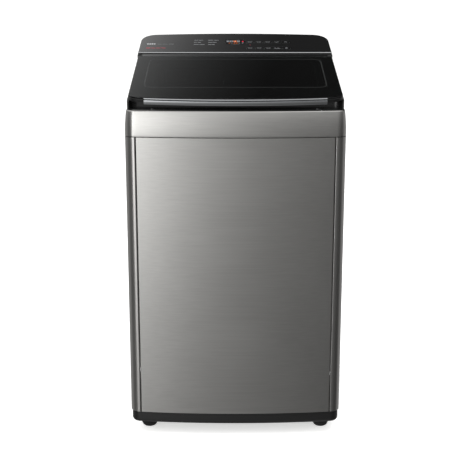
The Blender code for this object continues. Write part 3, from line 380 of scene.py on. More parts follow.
def make_finishes(chosen):
    """Makes every finish of the machine once."""
    brushed_stainless("brushed_stainless_sheet", chosen.steel, chosen.steel_roughness, 0)
    brushed_stainless("brushed_stainless_side", chosen.steel, chosen.steel_roughness, 1)
    galvanised_sheet()
    zinc_plate()
    cast_aluminium()
    grained_plastic("grained_black_plastic", chosen.black)
    grained_plastic("satin_black_plastic", chosen.black, 0.28, 0.0006, 0.00002)
    grained_plastic("pale_grey_polypropylene", chosen.polypropylene, 0.46, 0.0014)
    grained_plastic("white_polypropylene", "DCDDDC", 0.42, 0.0014)
    grained_plastic("dark_grey_polypropylene", "2E3032", 0.42, 0.0014)
    grained_plastic("blue_polypropylene", "3C6FA8", 0.42, 0.0014)
    grained_plastic("blue_grey_polypropylene", "8E979C", 0.4, 0.0014)
    grained_plastic("natural_nylon", "D8D2C2", 0.48, 0.0012)
    polished_panel("polished_black_panel", chosen.gloss)
    tinted_glass("grey_tempered_glass", chosen.glass)
    tinted_glass("smoked_display_lens", "8A8D90")
    # painted highlight: a faint pale film for the light line along the lid window's edge
    painted_highlight_film("ceramic_dot_line", "8A8E8D", 0.05)
    screen_print("black_ceramic_print", "0B0B0B")
    screen_print("pale_legend_ink", chosen.legend)
    screen_print("grey_legend_ink", "6C6E70")
    screen_print("dim_legend_ink", "58595B")
    screen_print("red_legend_ink", "B4293F")
    screen_print("unlit_display_segment", "8A8C90")
    bright_chrome()
    drum_stainless()
    moulded_rubber("moulded_rubber", chosen.rubber)
    moulded_rubber("grey_seal_rubber", "4A4C4E")
    lit_diffuser("orange_lit_segment", chosen.display, 0.7)
    lit_diffuser("dim_orange_segment", chosen.display, 0.35)
    lit_diffuser("red_lit_diode", "E01838", 0.8)
    circuit_board()
    copper_winding()


# the frame's own word for what each finish covers
SLOT_OF = {
    "brushed_stainless_sheet": "brushed_steel", "brushed_stainless_side": "brushed_steel",
    "galvanised_sheet_steel": "galvanised_sheet", "grained_black_plastic": "black_plastic",
    "zinc_plated_steel": "stainless", "white_polypropylene": "tub_plastic", "moulded_rubber": "rubber",
    "satin_black_plastic": "black_plastic", "polished_black_panel": "gloss_black", "grey_seal_rubber": "rubber",
    "bright_chrome_plate": "chrome_trim", "smoked_display_lens": "smoked_glass",
    "grey_tempered_glass": "smoked_glass", "pale_grey_polypropylene": "tub_plastic",
    "drum_stainless_steel": "stainless", "blue_polypropylene": "tub_plastic",
    "blue_grey_polypropylene": "tub_plastic", "cast_aluminium": "cast_aluminium", "natural_nylon": "tub_plastic",
    "dark_grey_polypropylene": "tub_plastic", "green_circuit_board": "board_green"
}


# ---------------------------------------------------------------- mesh tools
def mm(*values, at=(0, 0)):
    """Pairs of numbers in millimetres as points in metres, counted from at."""
    return [(at[0] + a / 1000, at[1] + b / 1000) for a, b in zip(values[::2], values[1::2])]


def finish_piece(name, bm, material, stands_for=None, body=None, slot=None, angle=32, place=None):
    """Makes a piece of a bmesh, moved to its place, with its finish and its tie to the frame."""
    if place is not None:
        bmesh.ops.transform(bm, matrix=place, verts=bm.verts)
    bmesh.ops.recalc_face_normals(bm, faces=bm.faces)
    mesh = bpy.data.meshes.new(name)
    bm.to_mesh(mesh)
    bm.free()
    return finish_mesh(name, mesh, material, stands_for, body, slot, angle)


def finish_mesh(name, mesh, material, stands_for=None, body=None, slot=None, angle=32):
    """The piece rides the body of the node that it stands for, or else the cabinet."""
    mesh.shade_smooth()
    mesh.set_sharp_from_angle(angle=radians(angle))
    mesh.materials.clear()
    if material not in bpy.data.materials:
        make_finishes(bpy.context.scene.washer_finishes)
    mesh.materials.append(bpy.data.materials[material])
    piece = bpy.data.objects.new(name, mesh)
    piece.modifiers.new("flat_faces", "WEIGHTED_NORMAL").keep_sharp = True
    bpy.context.scene.collection.objects.link(piece)
    if body is not False:
        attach(piece, body or BODY_OF.get(stands_for, "cabinet"))
    if stands_for:
        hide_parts(stands_for)
    slot = SLOT_OF.get(material) if slot is None else slot
    return piece


def skin(loops, wrap=False, caps=True, bm=None):
    """Joins loops of equal length with quads. wrap joins the last loop to the first, caps closes the ends."""
    bm = bm or bmesh.new()
    rows = [[bm.verts.new(point) for point in loop] for loop in loops]
    count = len(rows[0])
    pairs = list(zip(rows, rows[1:]))
    if wrap:
        pairs.append((rows[-1], rows[0]))
    for low, high in pairs:
        for i in range(count):
            j = (i + 1) % count
            bm.faces.new((low[i], low[j], high[j], high[i]))
    if caps and not wrap:
        bm.faces.new(list(reversed(rows[0])))
        bm.faces.new(rows[-1])
    return bm


def prism(outline, low, high, bm=None):
    """A closed solid on an (x, y) outline. low and high are heights, or functions of (x, y)."""
    low_at = low if callable(low) else lambda x, y: low
    high_at = high if callable(high) else lambda x, y: high
    return skin([[(x, y, z(x, y)) for x, y in outline] for z in (low_at, high_at)], bm=bm)


def box(x, y, z, bm=None):
    """A box from three (low, high) pairs."""
    return prism([(x[0], y[0]), (x[1], y[0]), (x[1], y[1]), (x[0], y[1])], z[0], z[1], bm)


def slab(outline_at, low, high, edge, steps=4, bm=None):
    """A solid with rounded upper and lower edges. outline_at(inset) gives the outline, inset by that much."""
    loops = []
    for end, sign in ((low, 1), (high, -1)):
        turns = range(steps + 1) if sign > 0 else range(steps, -1, -1)
        for i in turns:
            angle = pi / 2 * i / steps
            inset = edge * (1 - sin(angle))
            height = end + sign * edge * (1 - cos(angle))
            loops.append([(x, y, height) for x, y in outline_at(inset)])
    return skin(loops, bm=bm)


def turned(profile, steps, centre=(0.0, 0.0), closed=False, bm=None, wobble=None):
    """Turns (radius, height) points about a vertical axis. wobble(angle, radius, height) may add to the radius."""
    loops = []
    for radius, height in profile:
        loop = []
        for i in range(steps):
            angle = 2 * pi * i / steps
            reach = radius + (wobble(angle, radius, height) if wobble else 0.0)
            loop.append((centre[0] + reach * cos(angle), centre[1] + reach * sin(angle), height))
        loops.append(loop)
    return skin(loops, wrap=closed, bm=bm)


def lathed(profile, steps, origin, direction, bm=None, closed=False):
    """Turns (radius, distance) points about a line from origin along direction."""
    way = Vector(direction).normalized()
    side = way.orthogonal().normalized()
    other = way.cross(side)
    loops = []
    for radius, along in profile:
        centre = Vector(origin) + way * along
        loop = []
        for i in range(steps):
            angle = 2 * pi * i / steps
            loop.append(centre + side * (radius * cos(angle)) + other * (radius * sin(angle)))
        loops.append(loop)
    return skin(loops, wrap=closed, bm=bm)


def tube(points, radius_at, steps=16, bm=None):
    """A round tube with closed ends along points. radius_at(i) is its radius at each point."""
    loops = []
    side = None
    for i, point in enumerate(points):
        ahead = Vector(points[min(i + 1, len(points) - 1)]) - Vector(points[max(i - 1, 0)])
        ahead.normalize()
        if side is None:
            side = ahead.orthogonal().normalized()
        side = (side - ahead * side.dot(ahead)).normalized()
        other = ahead.cross(side)
        radius = radius_at(i) if callable(radius_at) else radius_at
        loop = []
        for k in range(steps):
            angle = 2 * pi * k / steps
            loop.append(Vector(point) + side * (radius * cos(angle)) + other * (radius * sin(angle)))
        loops.append(loop)
    return skin(loops, bm=bm)


def hex_nut(bm, centre, radius, low, high):
    prism([(centre[0] + radius * cos(a), centre[1] + radius * sin(a)) for a in turns_of(6)], low, high, bm)


def arc(centre, radius, start, end, steps):
    """Points of an arc, angles measured from -Y towards +X."""
    angles = [start + (end - start) * i / steps for i in range(steps + 1)]
    return [(centre[0] + radius * sin(a), centre[1] - radius * cos(a)) for a in angles]


def soft_rect(x, y, radius, steps=6):
    """An outline with round corners, from two (low, high) pairs."""
    corners = (
        (x[1] - radius, y[0] + radius), (x[1] - radius, y[1] - radius), (x[0] + radius, y[1] - radius),
        (x[0] + radius, y[0] + radius)
    )
    points = []
    for quarter, centre in enumerate(corners):
        start = quarter * pi / 2
        points += arc(centre, radius, start, start + pi / 2, steps)
    return points


def rounded_at(x, y, radius, steps=6):
    """The same outline as a function of inset."""

    def outline(inset):
        return soft_rect(
            (x[0] + inset, x[1] - inset), (y[0] + inset, y[1] - inset), max(radius - inset, 0.0001), steps
        )

    return outline


def mirrored(points):
    return [(-x, y) for x, y in reversed(points)]


def filleted(path, radius, steps=5):
    """An open path with its sharp corners rounded."""
    points = [path[0]]
    for before, here, after in zip(path, path[1:], path[2:]):
        a, b, c = Vector(before), Vector(here), Vector(after)
        into, out = (a - b).normalized(), (c - b).normalized()
        if into.angle(out) > radians(165):
            points.append(here)
            continue
        half = into.angle(out) / 2
        reach = min(radius / tan(half), (a - b).length * 0.45, (c - b).length * 0.45)
        for i in range(steps + 1):
            t = i / steps
            points.append(tuple(b + into * reach * (1 - t) ** 2 + out * reach * t**2))
    points.append(path[-1])
    return points


def offset_path(path, distance):
    """The path moved sideways by distance. Positive moves to its left."""
    moved = []
    for i, point in enumerate(path):
        before, after = Vector(path[max(i - 1, 0)]), Vector(path[min(i + 1, len(path) - 1)])
        here = Vector(point)
        ways = [(b - a).normalized() for a, b in ((before, here), (here, after)) if (b - a).length > 1e-9]
        normals = [Vector((-way.y, way.x)) for way in ways]
        normal = sum(normals, Vector((0, 0))).normalized()
        moved.append(tuple(here + normal * distance / max(normal.dot(normals[0]), 0.3)))
    return moved


def sheet_wall(path, low, high, thickness, bm=None):
    """A folded sheet that follows a path in plan, its thickness to the path's left."""
    return prism(path + list(reversed(offset_path(path, thickness))), low, high, bm)


def baked(target, tools, bevel=0.0, segments=2, angle=40):
    """Applies a chain of Booleans, (operation, bmesh) each, to a bmesh, then rounds its edges. Returns a mesh."""
    held = []
    for bm in [target] + [tool for _, tool in tools]:
        bmesh.ops.recalc_face_normals(bm, faces=bm.faces)
        mesh = bpy.data.meshes.new("workpiece")
        bm.to_mesh(mesh)
        bm.free()
        obj = bpy.data.objects.new("workpiece", mesh)
        bpy.context.scene.collection.objects.link(obj)
        held.append(obj)
    work = held[0]
    for (operation, _), tool in zip(tools, held[1:]):
        modifier = work.modifiers.new("cut", "BOOLEAN")
        modifier.operation = operation
        modifier.solver = "EXACT"
        modifier.object = tool
    if bevel:
        modifier = work.modifiers.new("round", "BEVEL")
        modifier.width = bevel
        modifier.segments = segments
        modifier.limit_method = "ANGLE"
        modifier.angle_limit = radians(angle)
        modifier.use_clamp_overlap = True
    graph = bpy.context.evaluated_depsgraph_get()
    mesh = bpy.data.meshes.new_from_object(work.evaluated_get(graph))
    for obj in held:
        data = obj.data
        bpy.data.objects.remove(obj)
        bpy.data.meshes.remove(data)
    return mesh


def screw_head(bm, origin, direction, radius=0.0042, height=0.0024):
    """A pan head with a cross recess, added to a bmesh."""
    way = Vector(direction).normalized()
    side = way.orthogonal().normalized()
    other = way.cross(side)
    levels = ((1.0, 0.0), (1.0, 0.25), (0.93, 0.6), (0.75, 0.88), (0.55, 0.97), (0.3, 1.0), (0.12, 1.0))
    loops = []
    for share, rise in levels:
        loop = []
        for i in range(24):
            angle = 2 * pi * i / 24
            in_cross = share < 0.6 and i % 6 in (5, 0, 1)
            level = height * (rise - (0.45 if in_cross or share < 0.2 else 0.0))
            reach = radius * share
            offset = side * (reach * cos(angle)) + other * (reach * sin(angle))
            loop.append(Vector(origin) + offset + way * level)
        loops.append(loop)
    return skin(loops, bm=bm)


# ---------------------------------------------------------------- outlines
def plane_z(y, n):
    """Height of the plane n off the sloping top, at depth y."""
    return HINGE.z + (y - HINGE.y) * tan(SLOPE) + n / cos(SLOPE)


def on_slope(n):
    return lambda x, y: plane_z(y, n)


def front_arc(inset, half, steps):
    radius = FRONT_RADIUS - inset
    swing = asin(half / radius)
    return arc((0, FRONT_CENTRE_Y), radius, -swing, swing, steps)


def right_corner(inset, steps=10):
    return arc((CORNER_X, CORNER_Y), CORNER_RADIUS - inset, CORNER_SWING, pi / 2, steps)


def cabinet_outline(inset, back_y, rear_corner=0.006):
    """The closed plan of the cabinet, moved inwards by inset, with its back at back_y."""
    front = arc((0, FRONT_CENTRE_Y), FRONT_RADIUS - inset, -CORNER_SWING, CORNER_SWING, 40)
    half = WIDTH / 2 - inset
    centre = (half - rear_corner, back_y - rear_corner)
    rear = arc(centre, rear_corner, pi / 2, pi, 5)
    right = right_corner(inset)[1:] + rear
    return front + right + mirrored(right)


def deck_outline(inset, back_y):
    """The deck's plan: the cabinet's front and sides, cut off square at back_y."""
    grown = WIDTH / 2 - DECK_HALF + inset
    front = arc((0, FRONT_CENTRE_Y), FRONT_RADIUS - grown, -CORNER_SWING, CORNER_SWING, 32)
    right = right_corner(grown)[1:] + [(WIDTH / 2 - grown, back_y)]
    return front + right + mirrored(right)


def console_outline(inset, front_y, steps=14):
    """The console's plan: square at front_y, large rear corners and a slightly bowed back."""
    wide, deep, bow = 0.042 - inset, 0.06 - inset, 0.0112
    half = CONSOLE_HALF - inset
    back = CONSOLE_BACK - inset
    chord = half - wide
    radius = (chord**2 + bow**2) / (2 * bow)
    corner_y = back - bow - deep
    right = [(half, front_y)]
    for i in range(steps + 1):
        angle = pi / 2 * i / steps
        right.append((half - wide + wide * cos(angle), corner_y + deep * sin(angle)))
    swing = asin(chord / radius)
    rear = []
    for i in range(1, 24):
        angle = swing - 2 * swing * i / 24
        rear.append((radius * sin(angle), back - radius + radius * cos(angle)))
    return right + rear + mirrored(right)


def lid_outline(inset, back_u):
    """The lid's outline in (x, u): bowed front, rounded front corners, straight sides."""
    half = LID_HALF - inset
    centre_x = LID_HALF - LID_CORNER
    centre_u = LID_FRONT_U + FRONT_RADIUS - sqrt((FRONT_RADIUS - LID_CORNER) ** 2 - centre_x**2)
    swing = asin(centre_x / (FRONT_RADIUS - LID_CORNER))
    front = arc((0, LID_FRONT_U + FRONT_RADIUS), FRONT_RADIUS - inset, -swing, swing, 40)
    right = arc((centre_x, centre_u), LID_CORNER - inset, swing, pi / 2, 10)[1:] + [(half, back_u)]
    return front + right + mirrored(right)


# ---------------------------------------------------------------- operators
def stage_add_camera(context, stage):
    data = bpy.data.cameras.new("camera")
    data.lens = stage.lens
    data.sensor_width = 36.0
    camera = bpy.data.objects.new("camera", data)
    camera.location = stage.camera_place
    camera.rotation_euler = (pi / 2 - stage.camera_pitch, 0, 0)
    context.scene.collection.objects.link(camera)
    context.scene.camera = camera


def stage_add_floor(stage):
    reach = 60.0
    mesh = bpy.data.meshes.new("floor")
    mesh.from_pydata(
        [(-reach, -reach, 0), (reach, -reach, 0), (reach, reach, 0), (-reach, reach, 0)], [], [(0, 1, 2, 3)]
    )
    pale = linear(stage.floor)
    new_finish("painted_studio_floor", roughness=0.9, base_color=pale, emission_color=pale, emission_strength=0.62)
    mesh.materials.append(bpy.data.materials["painted_studio_floor"])
    floor = bpy.data.objects.new("floor", mesh)
    floor.location.z = -0.0002
    floor.visible_glossy = False
    floor.visible_diffuse = False
    bpy.context.scene.collection.objects.link(floor)


def stage_add_world(context):
    """A studio seen in the machine's surfaces: bright high on the left, dim to the right and low down."""
    world = bpy.data.worlds.new("studio")
    world.use_nodes = True
    context.scene.world = world
    tree = world.node_tree
    where = add_node(tree, "ShaderNodeTexCoord")
    parts = add_node(tree, "ShaderNodeSeparateXYZ", links={"Vector": where.outputs["Generated"]})
    across, height = parts.outputs["X"], parts.outputs["Z"]
    below = add_node(
        tree, "ShaderNodeClamp", values={"Min": -1.0, "Max": -0.13}, links={"Value": height}
    ).outputs[0]
    panel = stage_falloff(tree, (across, -7.4), (below, 10.0), -0.5, 0.0, 4.5)
    fill = stage_falloff(tree, (across, -1.7), (below, 2.0), -0.95, 0.0, 2.0)
    front = add_node(tree, "ShaderNodeMath", links={0: panel, 1: fill}).outputs[0]
    front = stage_stepped(tree, across, (-0.6, -0.42), 0.1, front)
    front = stage_stepped(tree, height, (0.08, 0.36), front, 0.95)
    front = stage_stepped(tree, height, (-0.86, -0.62), 0.55, front)
    gloss = stage_falloff(tree, (across, -21.0), (height, -9.0), 1.35, 0.025, 0.7)
    rear = stage_stepped(tree, height, (0.1, 0.3), 0.32, gloss)
    strength = stage_stepped(tree, parts.outputs["Y"], (-0.15, 0.3), front, rear)
    back = tree.nodes["Background"]
    tree.links.new(strength, back.inputs["Strength"])
    back.inputs["Color"].default_value = (1.0, 1.0, 1.0, 1.0)


def stage_falloff(tree, first, second, start, least, most):
    """exp(slope * source + slope * source + start), held between least and most."""
    (source_a, slope_a), (source_b, slope_b) = first, second
    line = add_node(tree, "ShaderNodeMath", {"operation": "MULTIPLY_ADD"}, {1: slope_a, 2: start}, {0: source_a})
    both = add_node(
        tree, "ShaderNodeMath", {"operation": "MULTIPLY_ADD"}, {1: slope_b}, {0: source_b, 2: line.outputs[0]}
    )
    curve = add_node(tree, "ShaderNodeMath", {"operation": "EXPONENT"}, links={0: both.outputs[0]})
    held = add_node(tree, "ShaderNodeClamp", values={"Min": least, "Max": most}, links={"Value": curve.outputs[0]})
    return held.outputs[0]


def stage_stepped(tree, source, stops, before, after):
    """One level before the stops and another after them, with a soft step between."""
    step = add_node(
        tree, "ShaderNodeMapRange", settings={"interpolation_type": "SMOOTHSTEP"},
        values={"From Min": stops[0], "From Max": stops[1]}, links={"Value": source}
    )
    mixed = add_node(tree, "ShaderNodeMix", links={"Factor": step.outputs["Result"]})
    for key, level in (("A", before), ("B", after)):
        if isinstance(level, float):
            mixed.inputs[key].default_value = level
        else:
            tree.links.new(level, mixed.inputs[key])
    return mixed.outputs["Result"]


def stage_add_lights(stage):
    """(name, power share, size, place, whether polished surfaces mirror it) of each soft box."""
    boxes = (
        ("left_front_box", 0.55, (1.6, 2.2), (-2.2, -2.6, 1.5), False),
        ("overhead_box", 3.0, (6.0, 6.0), (0.0, 0.0, 4.2), False),
        ("right_fill_box", 0.22, (0.9, 2.0), (2.6, -1.6, 1.2), False)
    )
    for name, share, size, place, mirrored_in_gloss in boxes:
        data = bpy.data.lights.new(name, "AREA")
        data.shape = "RECTANGLE"
        data.size, data.size_y = size
        data.energy = stage.key_power * share
        light = bpy.data.objects.new(name, data)
        light.location = place
        light.rotation_euler = (Vector((0, 0, 0.5)) - Vector(place)).to_track_quat("-Z", "Y").to_euler()
        light.visible_glossy = mirrored_in_gloss
        bpy.context.scene.collection.objects.link(light)


class WASHER_OT_stage(bpy.types.Operator):
    """Adds the pale floor, the soft lights and the camera"""

    bl_idname = "washer.stage"
    bl_label = "Stage"

    def execute(self, context):
        stage = context.scene.washer_stage
        stage_add_camera(context, stage)
        stage_add_floor(stage)
        stage_add_world(context)
        stage_add_lights(stage)
        context.scene.view_settings.view_transform = "Standard"
        return {"FINISHED"}


def cabinet_front(sizes):
    """Bowed sheet with its two upright edges folded back."""
    face = front_arc(0, PANEL_HALF, 48)
    path = [(face[0][0], face[0][1] + 0.01)] + face + [(face[-1][0], face[-1][1] + 0.01)]
    bm = sheet_wall(filleted(path, sizes.fold, 6), STEEL_LOW, STEEL_HIGH, sizes.sheet)
    finish_piece("front_skin", bm, "brushed_stainless_sheet", "front_panel")


def cabinet_side(sizes, side, hand):
    """Sheet that starts in a hem beside the front, turns the round corner and ends in a rear flange."""
    edge_x = PANEL_HALF + 0.0015
    edge_y = FRONT_CENTRE_Y - sqrt(FRONT_RADIUS**2 - edge_x**2)
    path = [(edge_x, edge_y + 0.012), (edge_x, edge_y)]
    path += right_corner(0, 16)[1:]
    path += [(WIDTH / 2, BACK_Y), (WIDTH / 2 - 0.016, BACK_Y)]
    path = filleted(path, sizes.fold * 1.4, 5)
    if side < 0:
        path = mirrored(path)
    bm = sheet_wall(path, STEEL_LOW, STEEL_HIGH, sizes.sheet)
    name = f"{hand}_side_skin"
    finish_piece(name, bm, "brushed_stainless_side", f"{hand}_side_panel")
    bm = bmesh.new()
    low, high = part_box(f"{hand}_side_panel")
    inner = low.x if side > 0 else high.x
    for y in (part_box("suspension_rod_front_left"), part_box("suspension_rod_rear_left")):
        centre = (y[0].y + y[1].y) / 2
        cabinet_hanger(bm, side, inner, centre)
    finish_piece(f"{hand}_hanger_brackets", bm, "galvanised_sheet_steel")


def cabinet_hanger(bm, side, inner, y):
    """A folded shelf that a suspension rod hangs from, with a hole for the rod."""
    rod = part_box("suspension_rod_front_left")
    x_rod = side * abs(rod[0].x + rod[1].x) / 2
    low = rod[1].z - 0.016
    outer = side * (WIDTH / 2 - 0.0014)
    half_y = 0.018
    reach = sorted((inner - x_rod, outer - x_rod))
    holed_plate(bm, (x_rod, y), 0, reach, (-half_y, half_y), 0.0055, low, low + 0.004)
    wall = sorted((outer, outer - side * 0.002))
    box(wall, (y - half_y, y + half_y), (low - 0.03, low - 0.0002), bm)


def cabinet_back(sizes):
    """Galvanised sheet with pressed beads round its service hole."""
    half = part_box("back_panel")[1].x
    hole = (0.165, 0.17, 0.56)
    columns = spaced((-half, -hole[0], 0.0, hole[0], half), 0.006)
    rows = spaced((STEEL_LOW, hole[1], hole[2], STEEL_HIGH), 0.006)
    beads = mm(100, 205, 128, 205, 610, 205, 650, 205, 690, 205, 730, 205)

    def depth(x, z):
        """Depth of the pressing at a point: round-ended channels that run across."""
        deepest = 0.0
        for level, reach in beads:
            off = hypot(max(abs(x) - reach, 0), z - level)
            deepest = max(deepest, 0.0032 * max(0.0, 1 - (off / 0.01) ** 2) ** 0.5 if off < 0.01 else 0.0)
        for upright in (-0.205, 0.205):
            off = hypot(x - upright, max(abs(z - 0.365) - 0.185, 0))
            deepest = max(deepest, 0.0032 * max(0.0, 1 - (off / 0.01) ** 2) ** 0.5 if off < 0.01 else 0.0)
        return deepest

    bm = bmesh.new()
    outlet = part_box("drain_outlet")
    spigot = ((outlet[0] + outlet[1]) / 2)
    grid = [[bm.verts.new((x, BACK_Y - sizes.sheet - depth(x, z), z)) for x in columns] for z in rows]
    for j in range(len(rows) - 1):
        for i in range(len(columns) - 1):
            x, z = (columns[i] + columns[i + 1]) / 2, (rows[j] + rows[j + 1]) / 2
            in_hole = abs(x) < hole[0] and hole[1] < z < hole[2]
            at_spigot = hypot(x - spigot.x, z - spigot.z) < 0.0165
            if not in_hole and not at_spigot:
                bm.faces.new((grid[j][i], grid[j][i + 1], grid[j + 1][i + 1], grid[j + 1][i]))
    bmesh.ops.delete(bm, geom=[v for v in bm.verts if not v.link_faces], context="VERTS")
    piece = finish_piece("back_skin", bm, "galvanised_sheet_steel", "back_panel")
    thick = piece.modifiers.new("gauge", "SOLIDIFY")
    thick.thickness = sizes.sheet
    thick.offset = 0.0
    bm = lathed(
        mm(17.2, -0.6, 23.5, -0.6, 23.5, 1, 21.5, 2.2, 18, 2.6, 16.4, 2.2, 16.4, 0), 32,
        (spigot.x, BACK_Y, spigot.z), (0, 1, 0), closed=True
    )
    finish_piece("drain_bore_collar", bm, "grained_black_plastic")
    cabinet_back_fittings(half)


def cabinet_back_fittings(half):
    """Screws along the back's edges and round the service cover, and a blank rating plate."""
    bm = bmesh.new()
    for side in (-1, 1):
        for z in (STEEL_LOW + 0.012, 0.3, 0.54, STEEL_HIGH - 0.012):
            screw_head(bm, (side * (half - 0.008), BACK_Y - 0.0004, z), (0, 1, 0), 0.004, 0.0018)
    low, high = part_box("service_cover")
    for x in (low.x + 0.0065, 0.0, high.x - 0.0065):
        for z in (low.z + 0.0065, high.z - 0.0065):
            screw_head(bm, (x, low.y + 0.0009, z), (0, 1, 0), 0.004, 0.0018)
    finish_piece("back_screws", bm, "zinc_plated_steel")
    outline = soft_rect((-0.195, -0.095), (0.662, 0.722), 0.003, 4)
    loops = [[(x, BACK_Y + y, z) for x, z in outline] for y in (0.0003, 0.0006)]
    finish_piece("blank_rating_plate", skin(loops), "white_polypropylene", slot="")


def cabinet_service_cover():
    """Pressed tray over the service hole, with louvres."""
    low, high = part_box("service_cover")
    x, z = (low.x, high.x), (low.z, high.z)
    levels = mm(0, 0, 0, 1, 12.5, 1, 15, 2.2, 16.5, 4.6, 18.5, 6.2, 21.5, 6.5)
    loops = []
    for inset, rise in list(reversed([(i + 0.0009, r - 0.0008) for i, r in levels[2:]])) + list(levels):
        outline = soft_rect((x[0] + inset, x[1] - inset), (z[0] + inset, z[1] - inset), 0.012, 6)
        loops.append([(px, low.y + max(rise, 0), pz) for px, pz in outline])
    finish_piece("service_cover_skin", skin(loops), "galvanised_sheet_steel", "service_cover")
    bm = bmesh.new()
    for column in (-0.075, 0.075):
        for row in range(7):
            cabinet_louvre(bm, column, z[0] + 0.11 + row * 0.033, low.y + 0.0062)
    finish_piece("service_cover_louvres", bm, "galvanised_sheet_steel")


def cabinet_louvre(bm, x, z, y):
    """A pressed hood, open below."""
    loops = []
    for share in (-1.0, -0.96, -0.85, -0.6, 0.0, 0.6, 0.85, 0.96, 1.0):
        rise = 0.0042 * sqrt(max(1 - abs(share) ** 4, 0.0)) + 0.0002
        drop = 0.01 * sqrt(max(1 - abs(share) ** 6, 0.0)) + 0.0002
        at = x + 0.048 * share
        loops.append(
            [
                (at, y, z), (at, y + rise * 0.75, z - drop * 0.85), (at, y + rise, z - drop),
                (at, y, z - drop + 0.0002)
            ]
        )
    skin(loops, bm=bm)


def cabinet_skirt():
    """Silver band that draws in towards the deck and rolls over at its rim."""
    wall = 0.0015
    levels = mm(1.2, 0, 0.3, 0.4, 0, 1.4, at=(0, SKIRT_LOW))
    span = SKIRT_HIGH - SKIRT_LOW
    for i in range(1, 13):
        share = i / 12
        levels.append((0.004 * share**2.2, SKIRT_LOW + 0.0014 + (span - 0.0044) * share))
    for i in range(1, 6):
        angle = pi / 2 * i / 5
        levels.append((0.004 + 0.0026 * (1 - cos(angle)), SKIRT_HIGH - 0.003 + 0.003 * sin(angle)))
    inner = [(inset + wall, z - 0.0006) for inset, z in reversed(levels[3:])]
    loops = [
        [(x, y, z) for x, y in cabinet_outline(inset, BACK_Y - inset)]
        for inset, z in levels + [(0.008, SKIRT_HIGH - 0.0002), (0.0082, SKIRT_HIGH - 0.001)] + inner
    ]
    bm = skin(loops, wrap=True)
    finish_piece("skirt_skin", bm, "brushed_stainless_sheet", "top_skirt")


class WASHER_OT_cabinet(bpy.types.Operator):
    """Builds the steel cabinet: front, sides, back, service cover and top skirt"""

    bl_idname = "washer.cabinet"
    bl_label = "Cabinet"

    def execute(self, context):
        sizes = context.scene.washer_sizes
        cabinet_front(sizes)
        for side, hand in ((-1, "left"), (1, "right")):
            cabinet_side(sizes, side, hand)
        cabinet_back(sizes)
        cabinet_service_cover()
        cabinet_skirt()
        return {"FINISHED"}


def turns_of(count):
    """Angles round a full turn."""
    return [2 * pi * i / count for i in range(count)]


def spaced(stops, pitch):
    """Values from the first stop to the last that include every stop, about pitch apart."""
    values = [stops[0]]
    for low, high in zip(stops, stops[1:]):
        count = max(1, round((high - low) / pitch))
        values += [low + (high - low) * i / count for i in range(1, count + 1)]
    return values


def base_plinth(sizes):
    """Outer band with a rounded lower edge, a floor plate with a large opening, and holes for the feet."""
    band = WIDTH / 2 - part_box("base_frame")[1].x
    wall, edge = 0.003, sizes.plinth_round
    plate = (0.052, 0.058)
    levels = []
    for i in range(7):
        angle = pi / 2 * i / 6
        levels.append((band + edge * (1 - sin(angle)) * 0.8, PLINTH_LOW + edge * (1 - cos(angle))))
    levels += [
        (band, PLINTH_HIGH - 0.0008), (band + 0.0006, PLINTH_HIGH), (band + wall, PLINTH_HIGH),
        (band + wall, plate[1])
    ]
    loops = [[(x, y, z) for x, y in cabinet_outline(inset, BACK_Y)] for inset, z in levels]
    inner = cabinet_outline(band + wall, BACK_Y - wall)
    opening = [(x * 0.72, y * 0.72) for x, y in inner]
    for outline, z in ((opening, plate[1]), (opening, plate[0]), (inner, plate[0])):
        loops.append([(x, y, z) for x, y in outline])
    low = cabinet_outline(band + wall + edge * 0.8, BACK_Y - wall)
    loops.append([(x, y, PLINTH_LOW + 0.0006) for x, y in low])
    plinth = skin(loops, wrap=True)
    cutters = []
    for x in (-0.226, 0.226):
        for y in (-0.2125, 0.22):
            hole = turned([(0.0062, 0.04), (0.0062, 0.07)], 24, (x, y))
            cutters.append(("DIFFERENCE", hole))
    mesh = baked(plinth, cutters)
    finish_mesh("plinth", mesh, "grained_black_plastic", "base_frame")
    bm = bmesh.new()
    for i in range(12):
        angle = pi * 2 * (i + 0.5) / 12
        way = Vector((cos(angle), sin(angle)))
        reach = 1 / max(abs(way.x), abs(way.y))
        start, end = way * 0.2 * reach, way * 0.25 * reach
        side = Vector((-way.y, way.x)) * 0.001
        outline = [tuple(p) for p in (start - side, end - side, end + side, start + side)]
        prism(outline, PLINTH_LOW + 0.006, plate[0] - 0.0002, bm)
    finish_piece("plinth_ribs", bm, "grained_black_plastic")


